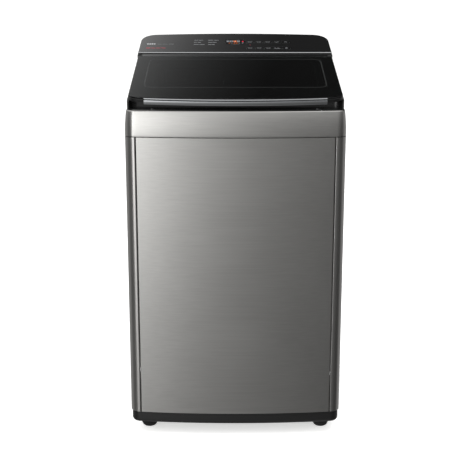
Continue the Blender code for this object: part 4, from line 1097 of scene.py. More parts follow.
def base_foot(name, body):
    """Ribbed rubber pad, hex nut and threaded stud."""
    low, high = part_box(name)
    x, y = (low.x + high.x) / 2, (low.y + high.y) / 2
    reach = (high.x - low.x) / 2
    pad = mm(10.5, 1.4, 11, 0, 14, 0, 15.5, 0.8, 18, 3.4, 20.2, 7.5)
    pad += mm(-0.6, 11.8, 0, 13.5, 0, 16.5, -0.9, 17.2, 0, 18, 0, 21.5, -0.8, 22.8, at=(reach, 0))
    pad += mm(19.2, 26.2, 17.8, 27, 8, 27.6)
    grip = lambda angle, radius, height: -0.0007 * max(cos(20 * angle), 0) ** 3 if 0.012 < height < 0.023 else 0.0
    pad_piece = finish_piece(name + "_pad", turned(pad, 80, (x, y), wobble=grip), "moulded_rubber", name)
    bm = bmesh.new()
    nut = [(x + 0.0095 * cos(a), y + 0.0095 * sin(a)) for a in turns_of(6)]
    prism(nut, 0.028, 0.0335, bm)
    nut_piece = finish_piece(name + "_nut", bm, "zinc_plated_steel", body=False, slot="")
    nut_piece.parent = pad_piece
    steps, pitch, top = 20, 0.0015, high.z - 0.0336
    turns = int(top / pitch)
    loops = []
    for i in range(turns * 4 + 1):
        z = 0.0336 + i * pitch / 4
        radius = 0.0054 - (0.0006 if i % 4 in (0, 1) else 0.0)
        loops.append([(x + radius * cos(a), y + radius * sin(a), z) for a in turns_of(steps)])
    stud = finish_piece(name + "_stud", skin(loops), "zinc_plated_steel", body=False, slot="")
    stud.parent = pad_piece


class WASHER_OT_base(bpy.types.Operator):
    """Builds the black plinth and the four feet"""

    bl_idname = "washer.base"
    bl_label = "Base and feet"

    def execute(self, context):
        sizes = context.scene.washer_sizes
        base_plinth(sizes)
        for end in ("front", "rear"):
            for hand in ("left", "right"):
                body = f"front_{hand}_levelling_foot" if end == "front" else "cabinet"
                base_foot(f"{end}_{hand}_foot", body)
        return {"FINISHED"}


def mouth_outline(grow, steps=12):
    return soft_rect((-0.205 - grow, 0.205 + grow), (-0.205 - grow, 0.055 + grow), 0.055 + grow, steps)


def tunnel_bar():
    """The way for the drawer and its housing."""
    low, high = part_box("dispenser_housing")
    side = 0.002
    return box((low.x - side, high.x + side), (0.025, 0.15), (low.z - side, high.z + side))


def deck_fittings(floor):
    """Two oval screw caps in the scoop and four lid bumpers."""
    bm = bmesh.new()
    for x in (-0.2, 0.2):
        outline = [(x + 0.0085 * cos(a), -0.2665 + 0.005 * sin(a)) for a in turns_of(32)]
        small = [(x + 0.0072 * cos(a), -0.2665 + 0.0038 * sin(a)) for a in turns_of(32)]
        level = floor - 0.001
        skin(
            [
                [(px, py, level) for px, py in outline], [(px, py, level + 0.0008) for px, py in outline],
                [(px, py, level + 0.0012) for px, py in small]
            ], bm=bm
        )
    finish_piece("scoop_screw_caps", bm, "polished_black_panel")
    bm = bmesh.new()
    for x, y in mm(-236, -236, 236, -236, -238, 30, 238, 30):
        base = plane_z(y, LEDGE_N) - 0.001
        turned(mm(4.5, 0, 4.5, 1, 3.4, 1.6, 1.2, 1.7, at=(0, base)), 24, (x, y), bm=bm)
    finish_piece("lid_bumpers", bm, "grey_seal_rubber")


class WASHER_OT_deck(bpy.types.Operator):
    """Builds the black deck with its loading mouth, finger scoop, bumpers and screw caps"""

    bl_idname = "washer.deck"
    bl_label = "Top deck"

    def execute(self, context):
        sizes = context.scene.washer_sizes
        wall = 0.003
        scoop_half, scoop_y, scoop_floor = 0.2585, -0.246, 0.8502
        body = prism(deck_outline(0, DECK_BACK), DECK_LOW, on_slope(LEDGE_N))
        hollow = prism(deck_outline(wall, DECK_BACK - wall), DECK_LOW - 0.02, on_slope(LEDGE_N - wall))
        keep = box((-scoop_half - wall, scoop_half + wall), (-0.5, scoop_y + wall), (DECK_LOW - 0.05, 1.0))
        hollow_mesh = baked(hollow, [("DIFFERENCE", keep)])
        hollow = bmesh.new()
        hollow.from_mesh(hollow_mesh)
        bpy.data.meshes.remove(hollow_mesh)
        funnel = prism(mouth_outline(wall), MOUTH_LOW, on_slope(LEDGE_N - wall / 2))
        mouth = prism(mouth_outline(0), MOUTH_LOW - 0.05, 1.1)
        scoop = prism(
            soft_rect((-scoop_half, scoop_half), (-0.5, scoop_y), 0.02, 8),
            lambda x, y: scoop_floor + (y - scoop_y) * 0.05, 1.1
        )
        room = lathed([(0.009, -0.3), (0.009, 0.3)], 40, HINGE, (1, 0, 0))
        trough = box((-0.3, 0.3), (HINGE.y, DECK_BACK + 0.01), (HINGE.z - 0.0088, 1.1))
        mesh = baked(
            body,
            [
                ("DIFFERENCE", hollow), ("UNION", funnel), ("DIFFERENCE", mouth), ("DIFFERENCE", scoop),
                ("DIFFERENCE", room), ("DIFFERENCE", trough), ("DIFFERENCE", tunnel_bar())
            ], bevel=sizes.moulded_edge, segments=3
        )
        finish_mesh("deck", mesh, "satin_black_plastic", "top_deck")
        deck_fittings(scoop_floor)
        return {"FINISHED"}


def console_housing(sizes):
    wall = 0.003
    top = FASCIA_LOW_N - GAP
    body = prism(console_outline(0, CONSOLE_FRONT), DECK_LOW, on_slope(top))
    flange = soft_rect((-DECK_HALF, DECK_HALF), (CONSOLE_FRONT, 0.276), 0.0015, 3)
    hollow = prism(console_outline(wall, CONSOLE_FRONT + wall), DECK_LOW - 0.02, on_slope(top - wall))
    tools = [("UNION", prism(flange, DECK_LOW, DECK_LOW + wall)), ("DIFFERENCE", hollow)]
    ear_low = LID_HALF - 0.01
    for side in (-1, 1):
        ends = sorted((side * ear_low, side * CONSOLE_HALF))
        profile = [
            (HINGE.y + 0.0072 * cos(a), HINGE.z + 0.0072 * sin(a))
            for a in (radians(90 + 10 * i) for i in range(19))
        ]
        profile += [(CONSOLE_FRONT + 0.0015, HINGE.z - 0.003), (CONSOLE_FRONT + 0.0015, HINGE.z + 0.006)]
        tools.append(("UNION", skin([[(x, y, z) for y, z in profile] for x in ends])))
    tools.append(("DIFFERENCE", lathed([(0.0034, -0.262), (0.0034, 0.262)], 24, HINGE, (1, 0, 0))))
    window = soft_rect((-0.03, 0.1565), (0.1215, 0.2195), 0.004, 4)
    tools.append(("DIFFERENCE", prism(window, 0.9, 1.05)))
    barrel = ear_low - 0.0005
    tools.append(("DIFFERENCE", lathed([(0.009, -barrel), (0.009, barrel)], 40, HINGE, (1, 0, 0))))
    tools.append(("DIFFERENCE", tunnel_bar()))
    for x in (0.06, 0.11):
        tools.append(("DIFFERENCE", lathed([(0.015, 0.25), (0.015, 0.31)], 32, (x, 0, 0.905), (0, 1, 0))))
    gland = (-0.2, 0, 0.88)
    tools.append(("UNION", lathed(mm(11, 274, 11, 288.8, 9.8, 290), 32, gland, (0, 1, 0))))
    tools.append(("DIFFERENCE", lathed([(0.004, 0.26), (0.004, 0.3)], 24, gland, (0, 1, 0))))
    mesh = baked(body, tools, bevel=sizes.moulded_edge, segments=3)
    finish_mesh("console_shell", mesh, "satin_black_plastic", "console_housing")
    bm = lathed(
        mm(3.8, 280, 3.8, 291.2, 5.2, 292, 7, 291.4, 7.4, 290.2, 6, 290.1, 5, 280), 24, gland, (0, 1, 0),
        closed=True
    )
    finish_piece("cord_gland_bush", bm, "moulded_rubber")


def console_fascia():
    """Gloss plate with a softly rounded rim, holes for the keys and a window for the display."""
    front = CONSOLE_FRONT + TRIM_DEPTH + 2 * GAP
    edge, steps = 0.0014, 5
    loops = [[(x, y, plane_z(y, FASCIA_LOW_N)) for x, y in console_outline(0, front)]]
    for i in range(steps + 1):
        angle = pi / 2 * i / steps
        inset = edge * (1 - cos(angle))
        n = TOP_N - edge * (1 - sin(angle))
        loops.append([(x, y, plane_z(y, n)) for x, y in console_outline(inset, front)])
    tools = [("DIFFERENCE", prism(display_outline(0.0004), 0.85, 1.1))]
    for name in KEYS:
        tools.append(("DIFFERENCE", prism(key_outline(name, 0.0005), 0.85, 1.1)))
    mesh = baked(skin(loops), tools, bevel=0.0001, segments=2, angle=50)
    finish_mesh("fascia_plate", mesh, "polished_black_panel", "console_fascia")


def console_trim():
    """Bright rounded strip across the console's front edge, on a black bed."""
    front, back = CONSOLE_FRONT, CONSOLE_FRONT + TRIM_DEPTH
    strip = [(front + y, TOP_N + n) for y, n in mm(3.6, -1, 7.2, -0.8, 7.2, -0.2, 6.6, 0.3, 5.2, 0.4, 4, 0)]
    bed = [(front, FASCIA_LOW_N), (back, FASCIA_LOW_N), (back, TOP_N - 0.001), (front + 0.0006, TOP_N - 0.001)]
    bed.append((front, TOP_N - 0.0016))
    across = (-CONSOLE_HALF, 0.0004 - CONSOLE_HALF, CONSOLE_HALF - 0.0004, CONSOLE_HALF)
    bright, black = [skin([[(x, y, plane_z(y, n)) for y, n in part] for x in across]) for part in (strip, bed)]
    finish_piece("console_trim_strip", bright, "bright_chrome_plate", "console_trim")
    finish_piece("console_trim_bed", black, "satin_black_plastic")


class WASHER_OT_console(bpy.types.Operator):
    """Builds the console behind the lid: housing, gloss fascia and its bright trim"""

    bl_idname = "washer.console"
    bl_label = "Console"

    def execute(self, context):
        sizes = context.scene.washer_sizes
        console_housing(sizes)
        console_fascia()
        console_trim()
        return {"FINISHED"}


KEYS = [name[: -len("_press")] for name in JOINTS if name.endswith("_press")]


def key_outline(name, grow, steps=4):
    low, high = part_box(name)
    return soft_rect((low.x - grow, high.x + grow), (low.y - grow, high.y + grow), 0.003 + grow, steps)


def display_outline(grow, steps=4):
    low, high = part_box("display_lens")
    return soft_rect((low.x - grow, high.x + grow), (low.y - grow, high.y + grow), 0.003 + grow, steps)


def ink(bm, x, y, n=TOP_N, thick=0.0001, corner=None):
    """A printed bar on the sloping panel, from (low, high) pairs in plan."""
    corner = min(x[1] - x[0], y[1] - y[0]) * 0.3 if corner is None else corner
    outline = soft_rect(x, y, corner, 3)
    return prism(outline, on_slope(n + 0.00002), on_slope(n + thick), bm)


def ink_row(bm, start, end, y, height, words, n=TOP_N):
    """A row of short bars that stands for a line of small print. words are shares of the row's length."""
    x = start
    for i, share in enumerate(words):
        width = (end - start) * share
        if i % 2 == 0:
            ink(bm, (x, x + width), (y - height / 2, y + height / 2), n)
        x += width


def panel_key(name):
    """Gloss cap with a rounded rim and a stem, and its printed sign."""
    low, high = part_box(name)
    centre = (low + high) / 2
    edge = 0.0002
    loops = [
        [(x, y, plane_z(y, n)) for x, y in key_outline(name, -inset)]
        for inset, n in ((0.0, 0.0056), (0.0, TOP_N - edge), (edge * 0.3, TOP_N - edge * 0.3), (edge, TOP_N))
    ]
    bm = skin(loops)
    stem = soft_rect((centre.x - 0.002, centre.x + 0.002), (centre.y - 0.002, centre.y + 0.002), 0.0005, 2)
    prism(stem, on_slope(0.0024), on_slope(0.00555), bm)
    cap = finish_piece(name + "_top", bm, "polished_black_panel", name)
    bm = bmesh.new()
    panel_sign(bm, name, centre.x, centre.y)
    sign = finish_piece(name + "_sign", bm, "grey_legend_ink", body=False)
    sign.parent = cap


def panel_sign(bm, name, x, y):
    """A simple sign for each key: bars for most, a ring for power, a triangle and bars for start."""
    if name == "power_key":
        turn = [radians(60 + 30 * i) for i in range(11)]
        outer = [(x + 0.004 * sin(a), y + 0.004 * cos(a)) for a in turn]
        inner = [(x + 0.003 * sin(a), y + 0.003 * cos(a)) for a in turn]
        prism(outer + list(reversed(inner)), on_slope(TOP_N + 0.00002), on_slope(TOP_N + 0.0001), bm)
        ink(bm, (x - 0.0005, x + 0.0005), (y + 0.0012, y + 0.005))
    elif name == "start_pause_key":
        prism(mm(-7.8, -2.6, -3, 0, -7.8, 2.6, at=(x, y)), on_slope(TOP_N + 0.00002), on_slope(TOP_N + 0.0001), bm)
        ink(bm, (x - 0.0005, x + 0.001), (y - 0.0026, y + 0.0026))
        ink(bm, (x + 0.0028, x + 0.0043), (y - 0.0026, y + 0.0026))
        ink(bm, (x - 0.0092, x + 0.0092), (y - 0.007, y - 0.005))
    elif name == "child_lock_key":
        ink(bm, (x - 0.0036, x + 0.0036), (y - 0.0036, y + 0.0012))
        turn = [radians(-90 + 18 * i) for i in range(11)]
        outer = [(x + 0.0028 * sin(a), y + 0.0016 + 0.003 * cos(a)) for a in turn]
        inner = [(x + 0.0019 * sin(a), y + 0.0016 + 0.0021 * cos(a)) for a in turn]
        prism(outer + list(reversed(inner)), on_slope(TOP_N + 0.00002), on_slope(TOP_N + 0.0001), bm)
    elif name == "delay_key":
        ink_row(bm, x - 0.0068, x + 0.0068, y + 0.001, 0.0022, (0.42, 0.1, 0.48))
        prism(
            mm(-2.4, -2.2, 0, -5.6, 2.4, -2.2, at=(x, y)), on_slope(TOP_N + 0.00002), on_slope(TOP_N + 0.0001), bm
        )
    else:
        ink_row(bm, x - 0.0066, x + 0.0066, y + 0.0016, 0.0023, (0.5, 0.1, 0.4))
        ink_row(bm, x - 0.005, x + 0.005, y - 0.0034, 0.0018, (0.35, 0.1, 0.55))


def panel_marks():
    """Plain bars where the panel carries its mark, its slogan and its list of programs."""
    bm = bmesh.new()
    for i in range(4):
        x = -0.244 + i * 0.0062
        ink(bm, (x, x + 0.0046), (0.1735, 0.1815), corner=0.0012)
    finish_piece("panel_mark", bm, "pale_legend_ink")
    bm = bmesh.new()
    ink_row(bm, -0.215, -0.169, 0.176, 0.0026, (0.26, 0.05, 0.3, 0.05, 0.34))
    columns = ((-0.114, -0.083), (-0.0745, -0.0445))
    lengths = (0.8, 0.62, 0.97)
    for start, end in columns:
        for row, share in enumerate(lengths):
            y = 0.214 - row * 0.021
            reach = start + (end - start) * share
            ink_row(bm, start, reach, y, 0.0048, (0.48, 0.04, 0.48))
        lengths = lengths[2:] + lengths[:2]
    finish_piece("program_list", bm, "grey_legend_ink")
    bm = bmesh.new()
    ink(bm, (-0.2445, -0.233), (0.1365, 0.141), corner=0.0014)
    ink_row(bm, -0.231, -0.19, 0.1385, 0.0026, (0.3, 0.05, 0.28, 0.05, 0.32))
    finish_piece("panel_tagline", bm, "red_legend_ink")
    bm = bmesh.new()
    ink(bm, (0.04, 0.044), (0.1672, 0.169), corner=0.0008)
    finish_piece("panel_red_lamp", bm, "red_legend_ink")


def panel_display():
    """Smoked lens over seven-segment digits, with a row of lit bars below."""
    low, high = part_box("display_lens")
    loops = [
        [(x, y, plane_z(y, n)) for x, y in display_outline(-inset)]
        for inset, n in ((0.0, TOP_N - 0.001), (0.0, TOP_N - 0.0003), (0.0002, TOP_N - 0.0002))
    ]
    finish_piece("display_window", skin(loops), "smoked_display_lens", "display_lens")
    back = TOP_N - 0.0016
    face = TOP_N - 0.0002
    panel = soft_rect((low.x + 0.0003, high.x - 0.0003), (low.y + 0.0003, high.y - 0.0003), 0.002, 3)
    bed = prism(panel, on_slope(FASCIA_LOW_N), on_slope(back))
    finish_piece("display_backing", bed, "black_ceramic_print")
    lit, unlit, red, dim = bmesh.new(), bmesh.new(), bmesh.new(), bmesh.new()
    for place, value in enumerate("8845"):
        panel_digit(lit, unlit, -0.0225 + place * 0.0096, 0.203, value, place == 2, face)
    for i in range(5):
        x = -0.017 + i * 0.0068
        ink(dim if i in (0, 2, 3) else unlit, (x, x + 0.0042), (0.1862, 0.1884), n=face)
    ink(red, (0.02, 0.0245), (0.2, 0.2062), n=face, corner=0.0022)
    finish_piece("display_lit_digits", lit, "orange_lit_segment")
    finish_piece("display_unlit_digits", unlit, "unlit_display_segment")
    finish_piece("display_mode_bars", dim, "dim_orange_segment")
    finish_piece("display_red_lamp", red, "red_lit_diode")
    white = ink(bmesh.new(), (0.02, 0.024), (0.1862, 0.1888), n=face, corner=0.0009)
    finish_piece("display_white_lamp", white, "pale_legend_ink")
    turn = [radians(-48 + 8 * i) for i in range(13)]
    centre = (0.0012, 0.1905)
    ring = [[(centre[0] + r * sin(a), centre[1] - r * cos(a)) for a in turn] for r in (0.0185, 0.0172)]
    mark = prism(ring[0] + list(reversed(ring[1])), on_slope(TOP_N + 0.00002), on_slope(TOP_N + 0.0001))
    finish_piece("display_arc_mark", mark, "dim_legend_ink")


def panel_digit(lit, unlit, x, y, value, lit_all, level):
    """One seven-segment digit, 7 mm wide and 12 mm tall."""
    on = {"8": "abcdefg", "4": "bcfg", "5": "acdfg"}[value] if lit_all else ""
    wide, tall, bar = 0.0072, 0.0062, 0.0019
    segments = {
        "a": ((x, x + wide), (y + tall, y + tall + bar)), "g": ((x, x + wide), (y, y + bar)),
        "d": ((x, x + wide), (y - tall, y - tall + bar)), "f": ((x, x + bar), (y + bar, y + tall)),
        "b": ((x + wide - bar, x + wide), (y + bar, y + tall)), "e": ((x, x + bar), (y - tall + bar, y)),
        "c": ((x + wide - bar, x + wide), (y - tall + bar, y))
    }
    for name, (across, up) in segments.items():
        ink(lit if name in on else unlit, across, up, n=level)


class WASHER_OT_controls(bpy.types.Operator):
    """Builds the ten keys, the display and the printed marks"""

    bl_idname = "washer.controls"
    bl_label = "Keys and display"

    def execute(self, context):
        for name in KEYS:
            panel_key(name)
        panel_marks()
        panel_display()
        return {"FINISHED"}


def lid_frame():
    notch = -0.016
    barrel = LID_HALF - 0.0108
    body = slab(lambda inset: lid_outline(inset, notch - inset), LID_LOW_N, LID_SHELF_N, 0.0008, 3)
    window = prism(soft_rect((-WINDOW_HALF, WINDOW_HALF), WINDOW_U, 0.02, 10), -0.03, 0.03)
    tongue = box((-barrel, barrel), (notch - 0.004, 0.0), (LID_LOW_N, TOP_N - 0.0002))
    bar = lathed([(0.0078, -barrel), (0.0078, barrel)], 48, (0, 0, 0), (1, 0, 0))
    hole = lathed([(0.0033, -0.3), (0.0033, 0.3)], 24, (0, 0, 0), (1, 0, 0))
    mesh = baked(
        body, [("UNION", tongue), ("UNION", bar), ("DIFFERENCE", window), ("DIFFERENCE", hole)], bevel=0.0006,
        segments=3, angle=50
    )
    mesh.transform(LID_PLACE)
    finish_mesh("lid_surround", mesh, "satin_black_plastic", "lid_frame")


def lid_glass():
    back = -0.0205
    pane = slab(lambda inset: lid_outline(0.0015 + inset, back - inset), LID_SHELF_N + GAP, TOP_N, 0.0011, 4)
    finish_piece("lid_pane", pane, "grey_tempered_glass", "lid_glass", place=LID_PLACE)
    ring = prism(lid_outline(0.003, back - 0.0015), LID_SHELF_N + 0.00008, LID_SHELF_N + 0.00022)
    window = prism(
        soft_rect(
            (-WINDOW_HALF - 0.002, WINDOW_HALF + 0.002), (WINDOW_U[0] - 0.002, WINDOW_U[1] + 0.002), 0.022, 10
        ), -0.03, 0.03
    )
    mesh = baked(ring, [("DIFFERENCE", window)])
    mesh.transform(LID_PLACE)
    finish_mesh("glass_border_print", mesh, "black_ceramic_print", body="lid", slot="gloss_black")
    strip = box((-LID_HALF + 0.012, LID_HALF - 0.012), (back + 0.0006, -0.004), (TOP_N - 0.0001, TOP_N))
    finish_piece("lid_rear_strip", strip, "polished_black_panel", body="lid", place=LID_PLACE)
    # Painted highlight: a faint pale ring on the glass along the window's edge stands for the light edge and corner
    # highlight there.
    level = TOP_N + 0.00002
    edge = rounded_at((-WINDOW_HALF, WINDOW_HALF), WINDOW_U, 0.02, 10)
    levels = ((-0.003, level), (-0.003, level + 0.00004), (-0.0001, level + 0.00004), (-0.0001, level))
    loops = [[(x, u, n) for x, u in edge(inset)] for inset, n in levels]
    outline = skin(loops, wrap=True)
    finish_piece("window_outline_print", outline, "ceramic_dot_line", body="lid", place=LID_PLACE)


def lid_handle():
    """Two bright bands along the lid's bowed front edge, with a polished black strip between them as painted shade
    for the dark band in the groove.
    """
    half = 0.2206
    lower = mm(0.3, -8.8, 1.8, -8.8, 2.6, -8, 3, -5, 2.9, -1, 2.4, 1.4, 1.4, 2, 0.3, 2.1)
    groove = mm(0.1, 1.8, 0.7, 1.8, 0.7, 5, 0.1, 5)
    upper = mm(0.3, 4.6, 1.6, 4.7, 2.1, 5.4, 2, 6.3, 1.3, 6.9, 0.3, 7)
    lid_swept("lid_handle_lower_band", lower, half, "bright_chrome_plate", "lid_handle_trim")
    # Painted shade: a polished black strip fills the groove where the chrome shows a dark band.
    lid_swept("lid_handle_groove", groove, half - 0.001, "polished_black_panel")
    lid_swept("lid_handle_upper_band", upper, half, "bright_chrome_plate")


def lid_swept(name, section, half, material, stands_for=None):
    """A bar with one section, given as (reach out, n), swept along the lid's front edge."""
    swing = asin(half / FRONT_RADIUS)
    centre = LID_FRONT_U + FRONT_RADIUS
    loops = []
    for i in range(61):
        angle = -swing + 2 * swing * i / 60
        loops.append(
            [
                ((FRONT_RADIUS + out) * sin(angle), centre - (FRONT_RADIUS + out) * cos(angle), n)
                for out, n in section
            ]
        )
    finish_piece(name, skin(loops), material, stands_for, "lid", place=LID_PLACE)


def lid_seal():
    """Soft lip round the window's underside."""
    outline = rounded_at(
        (-WINDOW_HALF - 0.012, WINDOW_HALF + 0.012), (WINDOW_U[0] - 0.012, WINDOW_U[1] + 0.012), 0.03, 10
    )
    section = mm(0, -0.04, 0.6, -0.4, 3, -0.4, 3.6, -0.04, 1.8, 0.4, at=(0, LID_LOW_N))
    loops = [[(x, y, n) for x, y in outline(inset)] for inset, n in section]
    finish_piece("lid_window_seal", skin(loops, wrap=True), "grey_seal_rubber", body="lid", place=LID_PLACE)


def lid_pin(hand):
    """Hinge pin with a chamfered tip."""
    low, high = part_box(f"{hand}_hinge_pin")
    reach = high.x - low.x
    profile = [(0.0022, 0.0), (0.003, 0.0008), (0.003, reach - 0.0008), (0.0022, reach)]
    bm = lathed(profile, 24, (low.x, HINGE.y, HINGE.z), (1, 0, 0))
    finish_piece(f"{hand}_pin", bm, "zinc_plated_steel", f"{hand}_hinge_pin")


class WASHER_OT_lid(bpy.types.Operator):
    """Builds the lid: frame, glass with its printed border, bright handle strip, seal and hinge pins"""

    bl_idname = "washer.lid"
    bl_label = "Lid"

    def execute(self, context):
        sizes = context.scene.washer_sizes
        lid_frame()
        lid_glass()
        lid_handle()
        lid_seal()
        for hand in ("left", "right"):
            lid_pin(hand)
        return {"FINISHED"}


def holed_plate(bm, place, turn, x, y, hole, low, high, steps=24):
    """A flat plate with a round hole at place. x and y are (low, high) from the hole, turned by an angle."""
    corners = [atan2(b, a) for a in x for b in y]
    angles = sorted([a % (2 * pi) for a in turns_of(steps)] + [a % (2 * pi) for a in corners])
    ring, rim = [], []
    for a in angles:
        way = (cos(a), sin(a))
        reach = min((x[1] if w > 0 else x[0]) / w for w in [way[0]] if abs(w) > 1e-6) if abs(way[0]) > 1e-6 else 1e9
        if abs(way[1]) > 1e-6:
            reach = min(reach, (y[1] if way[1] > 0 else y[0]) / way[1])
        for radius, points in ((hole, ring), (reach, rim)):
            px, py = way[0] * radius, way[1] * radius
            points.append((place[0] + px * cos(turn) - py * sin(turn), place[1] + px * sin(turn) + py * cos(turn)))
    order = ((ring, low), (rim, low), (rim, high), (ring, high))
    return skin([[(px, py, z) for px, py in points] for points, z in order], wrap=True, bm=bm)


def turned_box(bm, centre, turn, x, y, z):
    """A box given round a centre in plan and turned by an angle."""
    outline = [
        (centre[0] + px * cos(turn) - py * sin(turn), centre[1] + px * sin(turn) + py * cos(turn))
        for px, py in ((x[0], y[0]), (x[1], y[0]), (x[1], y[1]), (x[0], y[1]))
    ]
    return prism(outline, z[0], z[1], bm)


TUB_CENTRE = (0.0, TUB_Y)
LUG_Z = (0.452, 0.468)


def corner_rods():
    """(corner name, x, y) of the four suspension rods."""
    for end in ("front", "rear"):
        for hand in ("left", "right"):
            low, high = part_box(f"suspension_rod_{end}_{hand}")
            yield f"{end}_{hand}", (low.x + high.x) / 2, (low.y + high.y) / 2


def tub(sizes):
    wall = 0.0035
    radius, inner = TUB_RADIUS, TUB_RADIUS - wall
    profile = [(0.028, TUB_LOW), (radius - 0.03, TUB_LOW)]
    for i in range(7):
        angle = pi / 2 * i / 6
        profile.append((radius - 0.028 + 0.028 * sin(angle), TUB_LOW + 0.032 - 0.031 * cos(angle)))
    for level in (0.355, 0.42, 0.52, 0.59, 0.66, 0.725):
        profile += mm(0, -1.4, 2.8, -0.8, 2.8, 0.8, 0, 1.4, at=(radius, level))
    profile += [(radius, TUB_HIGH - 0.001), (radius - 0.001, TUB_HIGH), (inner, TUB_HIGH)]
    for i in range(6, -1, -1):
        angle = pi / 2 * i / 6
        profile.append((inner - 0.028 + 0.028 * sin(angle), TUB_LOW + 0.036 - 0.031 * cos(angle)))
    profile += [(radius - 0.034, TUB_LOW + 0.0045), (0.028, TUB_LOW + 0.0045)]
    bm = turned(profile, sizes.turn_steps, TUB_CENTRE, closed=True)
    finish_piece("tub_shell", bm, "pale_grey_polypropylene", "outer_tub")
    bm = bmesh.new()
    for name, x, y in corner_rods():
        turn = atan2(y - TUB_Y, x)
        reach = hypot(x, y - TUB_Y)
        holed_plate(bm, (x, y), turn, (radius - 0.002 - reach, 0.0155), (-0.0165, 0.0165), 0.0058, *LUG_Z)
        for off in (-0.015, 0.013):
            web = [(radius - 0.002, LUG_Z[0]), (reach - 0.01, LUG_Z[0]), (radius - 0.002, LUG_Z[0] - 0.045)]
            loops = [[tub_about(turn, r, side, z) for r, z in web] for side in (off, off + 0.002)]
            skin(loops, bm=bm)
    for angle in turns_of(24):
        turned_box(bm, TUB_CENTRE, angle + 0.13, (0.215, 0.2455), (-0.001, 0.001), (TUB_LOW + 0.036, 0.354))
        turned_box(bm, TUB_CENTRE, angle + 0.13, (0.1, 0.212), (-0.001, 0.001), (TUB_LOW - 0.006, TUB_LOW - 0.0002))
    finish_piece("tub_lugs_and_ribs", bm, "pale_grey_polypropylene", body=BODY_OF["outer_tub"])


def tub_about(turn, reach, side, z):
    """A point given by its reach from the tub's axis and its distance to the side."""
    return (reach * cos(turn) - side * sin(turn), TUB_Y + reach * sin(turn) + side * cos(turn), z)


def tub_cover(sizes):
    low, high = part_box("tub_cover")
    outer = high.x
    inner = 0.192
    profile = mm(0, 764, 0, 769, 1, 770.8, at=(inner, 0)) + [(inner + 0.004, high.z)]
    profile += mm(205, 0, 206, -1.6, 214, -1.6, 215, 0, at=(0, high.z))
    profile += mm(-15, 0, -4, -3, 0, -10, at=(outer, high.z)) + mm(0, 0.6, -0.6, 0, -3.2, 0, at=(outer, low.z))
    profile += [(outer - 0.0035, 0.7615), (outer - 0.015, high.z - 0.004)]
    profile += [(inner + 0.006, high.z - 0.004), (inner + 0.003, 0.764)]
    bm = turned(profile, sizes.turn_steps, TUB_CENTRE, closed=True)
    body = BODY_OF["tub_cover"]
    finish_piece("tub_cover_ring", bm, "white_polypropylene", "tub_cover")
    bm = bmesh.new()
    for angle in turns_of(12):
        place = (0.224 * cos(angle + 0.26), TUB_Y + 0.224 * sin(angle + 0.26), high.z - 0.0001)
        screw_head(bm, place, (0, 0, 1), 0.0045, 0.0024)
    finish_piece("tub_cover_screws", bm, "zinc_plated_steel", body=body)


class WASHER_OT_tub(bpy.types.Operator):
    """Builds the outer tub with its ribs and lugs, and the cover ring on its rim"""

    bl_idname = "washer.tub"
    bl_label = "Outer tub"

    def execute(self, context):
        sizes = context.scene.washer_sizes
        tub(sizes)
        tub_cover(sizes)
        return {"FINISHED"}


def basket_inset(angle, height):
    """How far the basket's wall is pressed inwards: six upright ribs that fade out at their ends."""
    share = cos(6 * angle - pi)
    ends = min((height - BASKET_LOW - 0.03) / 0.05, (RING_LOW - height - 0.02) / 0.05)
    return 0.0045 * max((share - 0.72) / 0.28, 0) * min(max(ends, 0), 1)


def basket_wall(sizes):
    """Sheet with a staggered pattern of drain holes, one hole to a cell."""
    low, high = BASKET_LOW + 0.022, BASKET_HIGH
    columns = 2 * round(pi * BASKET_RADIUS / sizes.hole_pitch)
    rows = round((high - low) / sizes.hole_pitch)
    across, up = 2 * pi / columns, (high - low) / rows
    hole = sizes.hole_size / 2
    bm = bmesh.new()
    held = {}

    def point(angle, z):
        key = (round(angle % (2 * pi), 7), round(z, 7))
        if key not in held:
            radius = BASKET_RADIUS - basket_inset(angle, z)
            held[key] = bm.verts.new((radius * cos(angle), TUB_Y + radius * sin(angle), z))
        return held[key]

    for row in range(rows):
        for column in range(columns):
            angle, z = (column + 0.5) * across, low + (row + 0.5) * up
            rim = []
            ring = []
            for i in range(8):
                a, b = ((-1, -1), (0, -1), (1, -1), (1, 0), (1, 1), (0, 1), (-1, 1), (-1, 0))[i]
                rim.append(point(angle + a * across / 2, z + b * up / 2))
                turn = atan2(b, a)
                ring.append(point(angle + hole * cos(turn) / BASKET_RADIUS, z + hole * sin(turn)))
            for i in range(8):
                j = (i + 1) % 8
                bm.faces.new((rim[i], rim[j], ring[j], ring[i]))
            if (row + column) % 2:
                bm.faces.new(ring)
    wall = finish_piece("basket_wall", bm, "drum_stainless_steel", "wash_basket")
    thick = wall.modifiers.new("gauge", "SOLIDIFY")
    thick.thickness = 0.0007
    thick.offset = -1.0


def basket_floor(sizes):
    """Dished floor with pressed flutes, turned up into the wall."""
    radii = [0.0178, 0.03, 0.05, 0.075, 0.1, 0.125, 0.15, 0.175, BASKET_RADIUS - 0.022]
    steps = sizes.turn_steps

    def ring(radius, height, flute):
        points = []
        for angle in turns_of(steps):
            lift = 0.0028 * flute * max(cos(12 * angle), 0)
            points.append((radius * cos(angle), TUB_Y + radius * sin(angle), height + lift))
        return points

    loops = [
        ring(r, BASKET_LOW + 0.002, min(1, 8 * (r - 0.03) * (0.2 - r) / 0.03) if 0.03 < r < 0.2 else 0)
        for r in radii
    ]
    turn_up = mm(-12.5, 4.5, -6, 9, -2, 15, -0.6, 22.5, at=(BASKET_RADIUS, 0))
    loops += [ring(r, BASKET_LOW + rise, 0) for r, rise in turn_up]
    below = mm(0, 22.5, -1, 14, -5, 8, -12, 3, at=(BASKET_RADIUS, 0))
    loops += [ring(r, BASKET_LOW + rise, 0) for r, rise in below]
    loops += [ring(r, BASKET_LOW, 0) for r in (BASKET_RADIUS - 0.022, 0.0178)]
    finish_piece("basket_floor", skin(loops, wrap=True), "drum_stainless_steel", body=BODY_OF["wash_basket"])


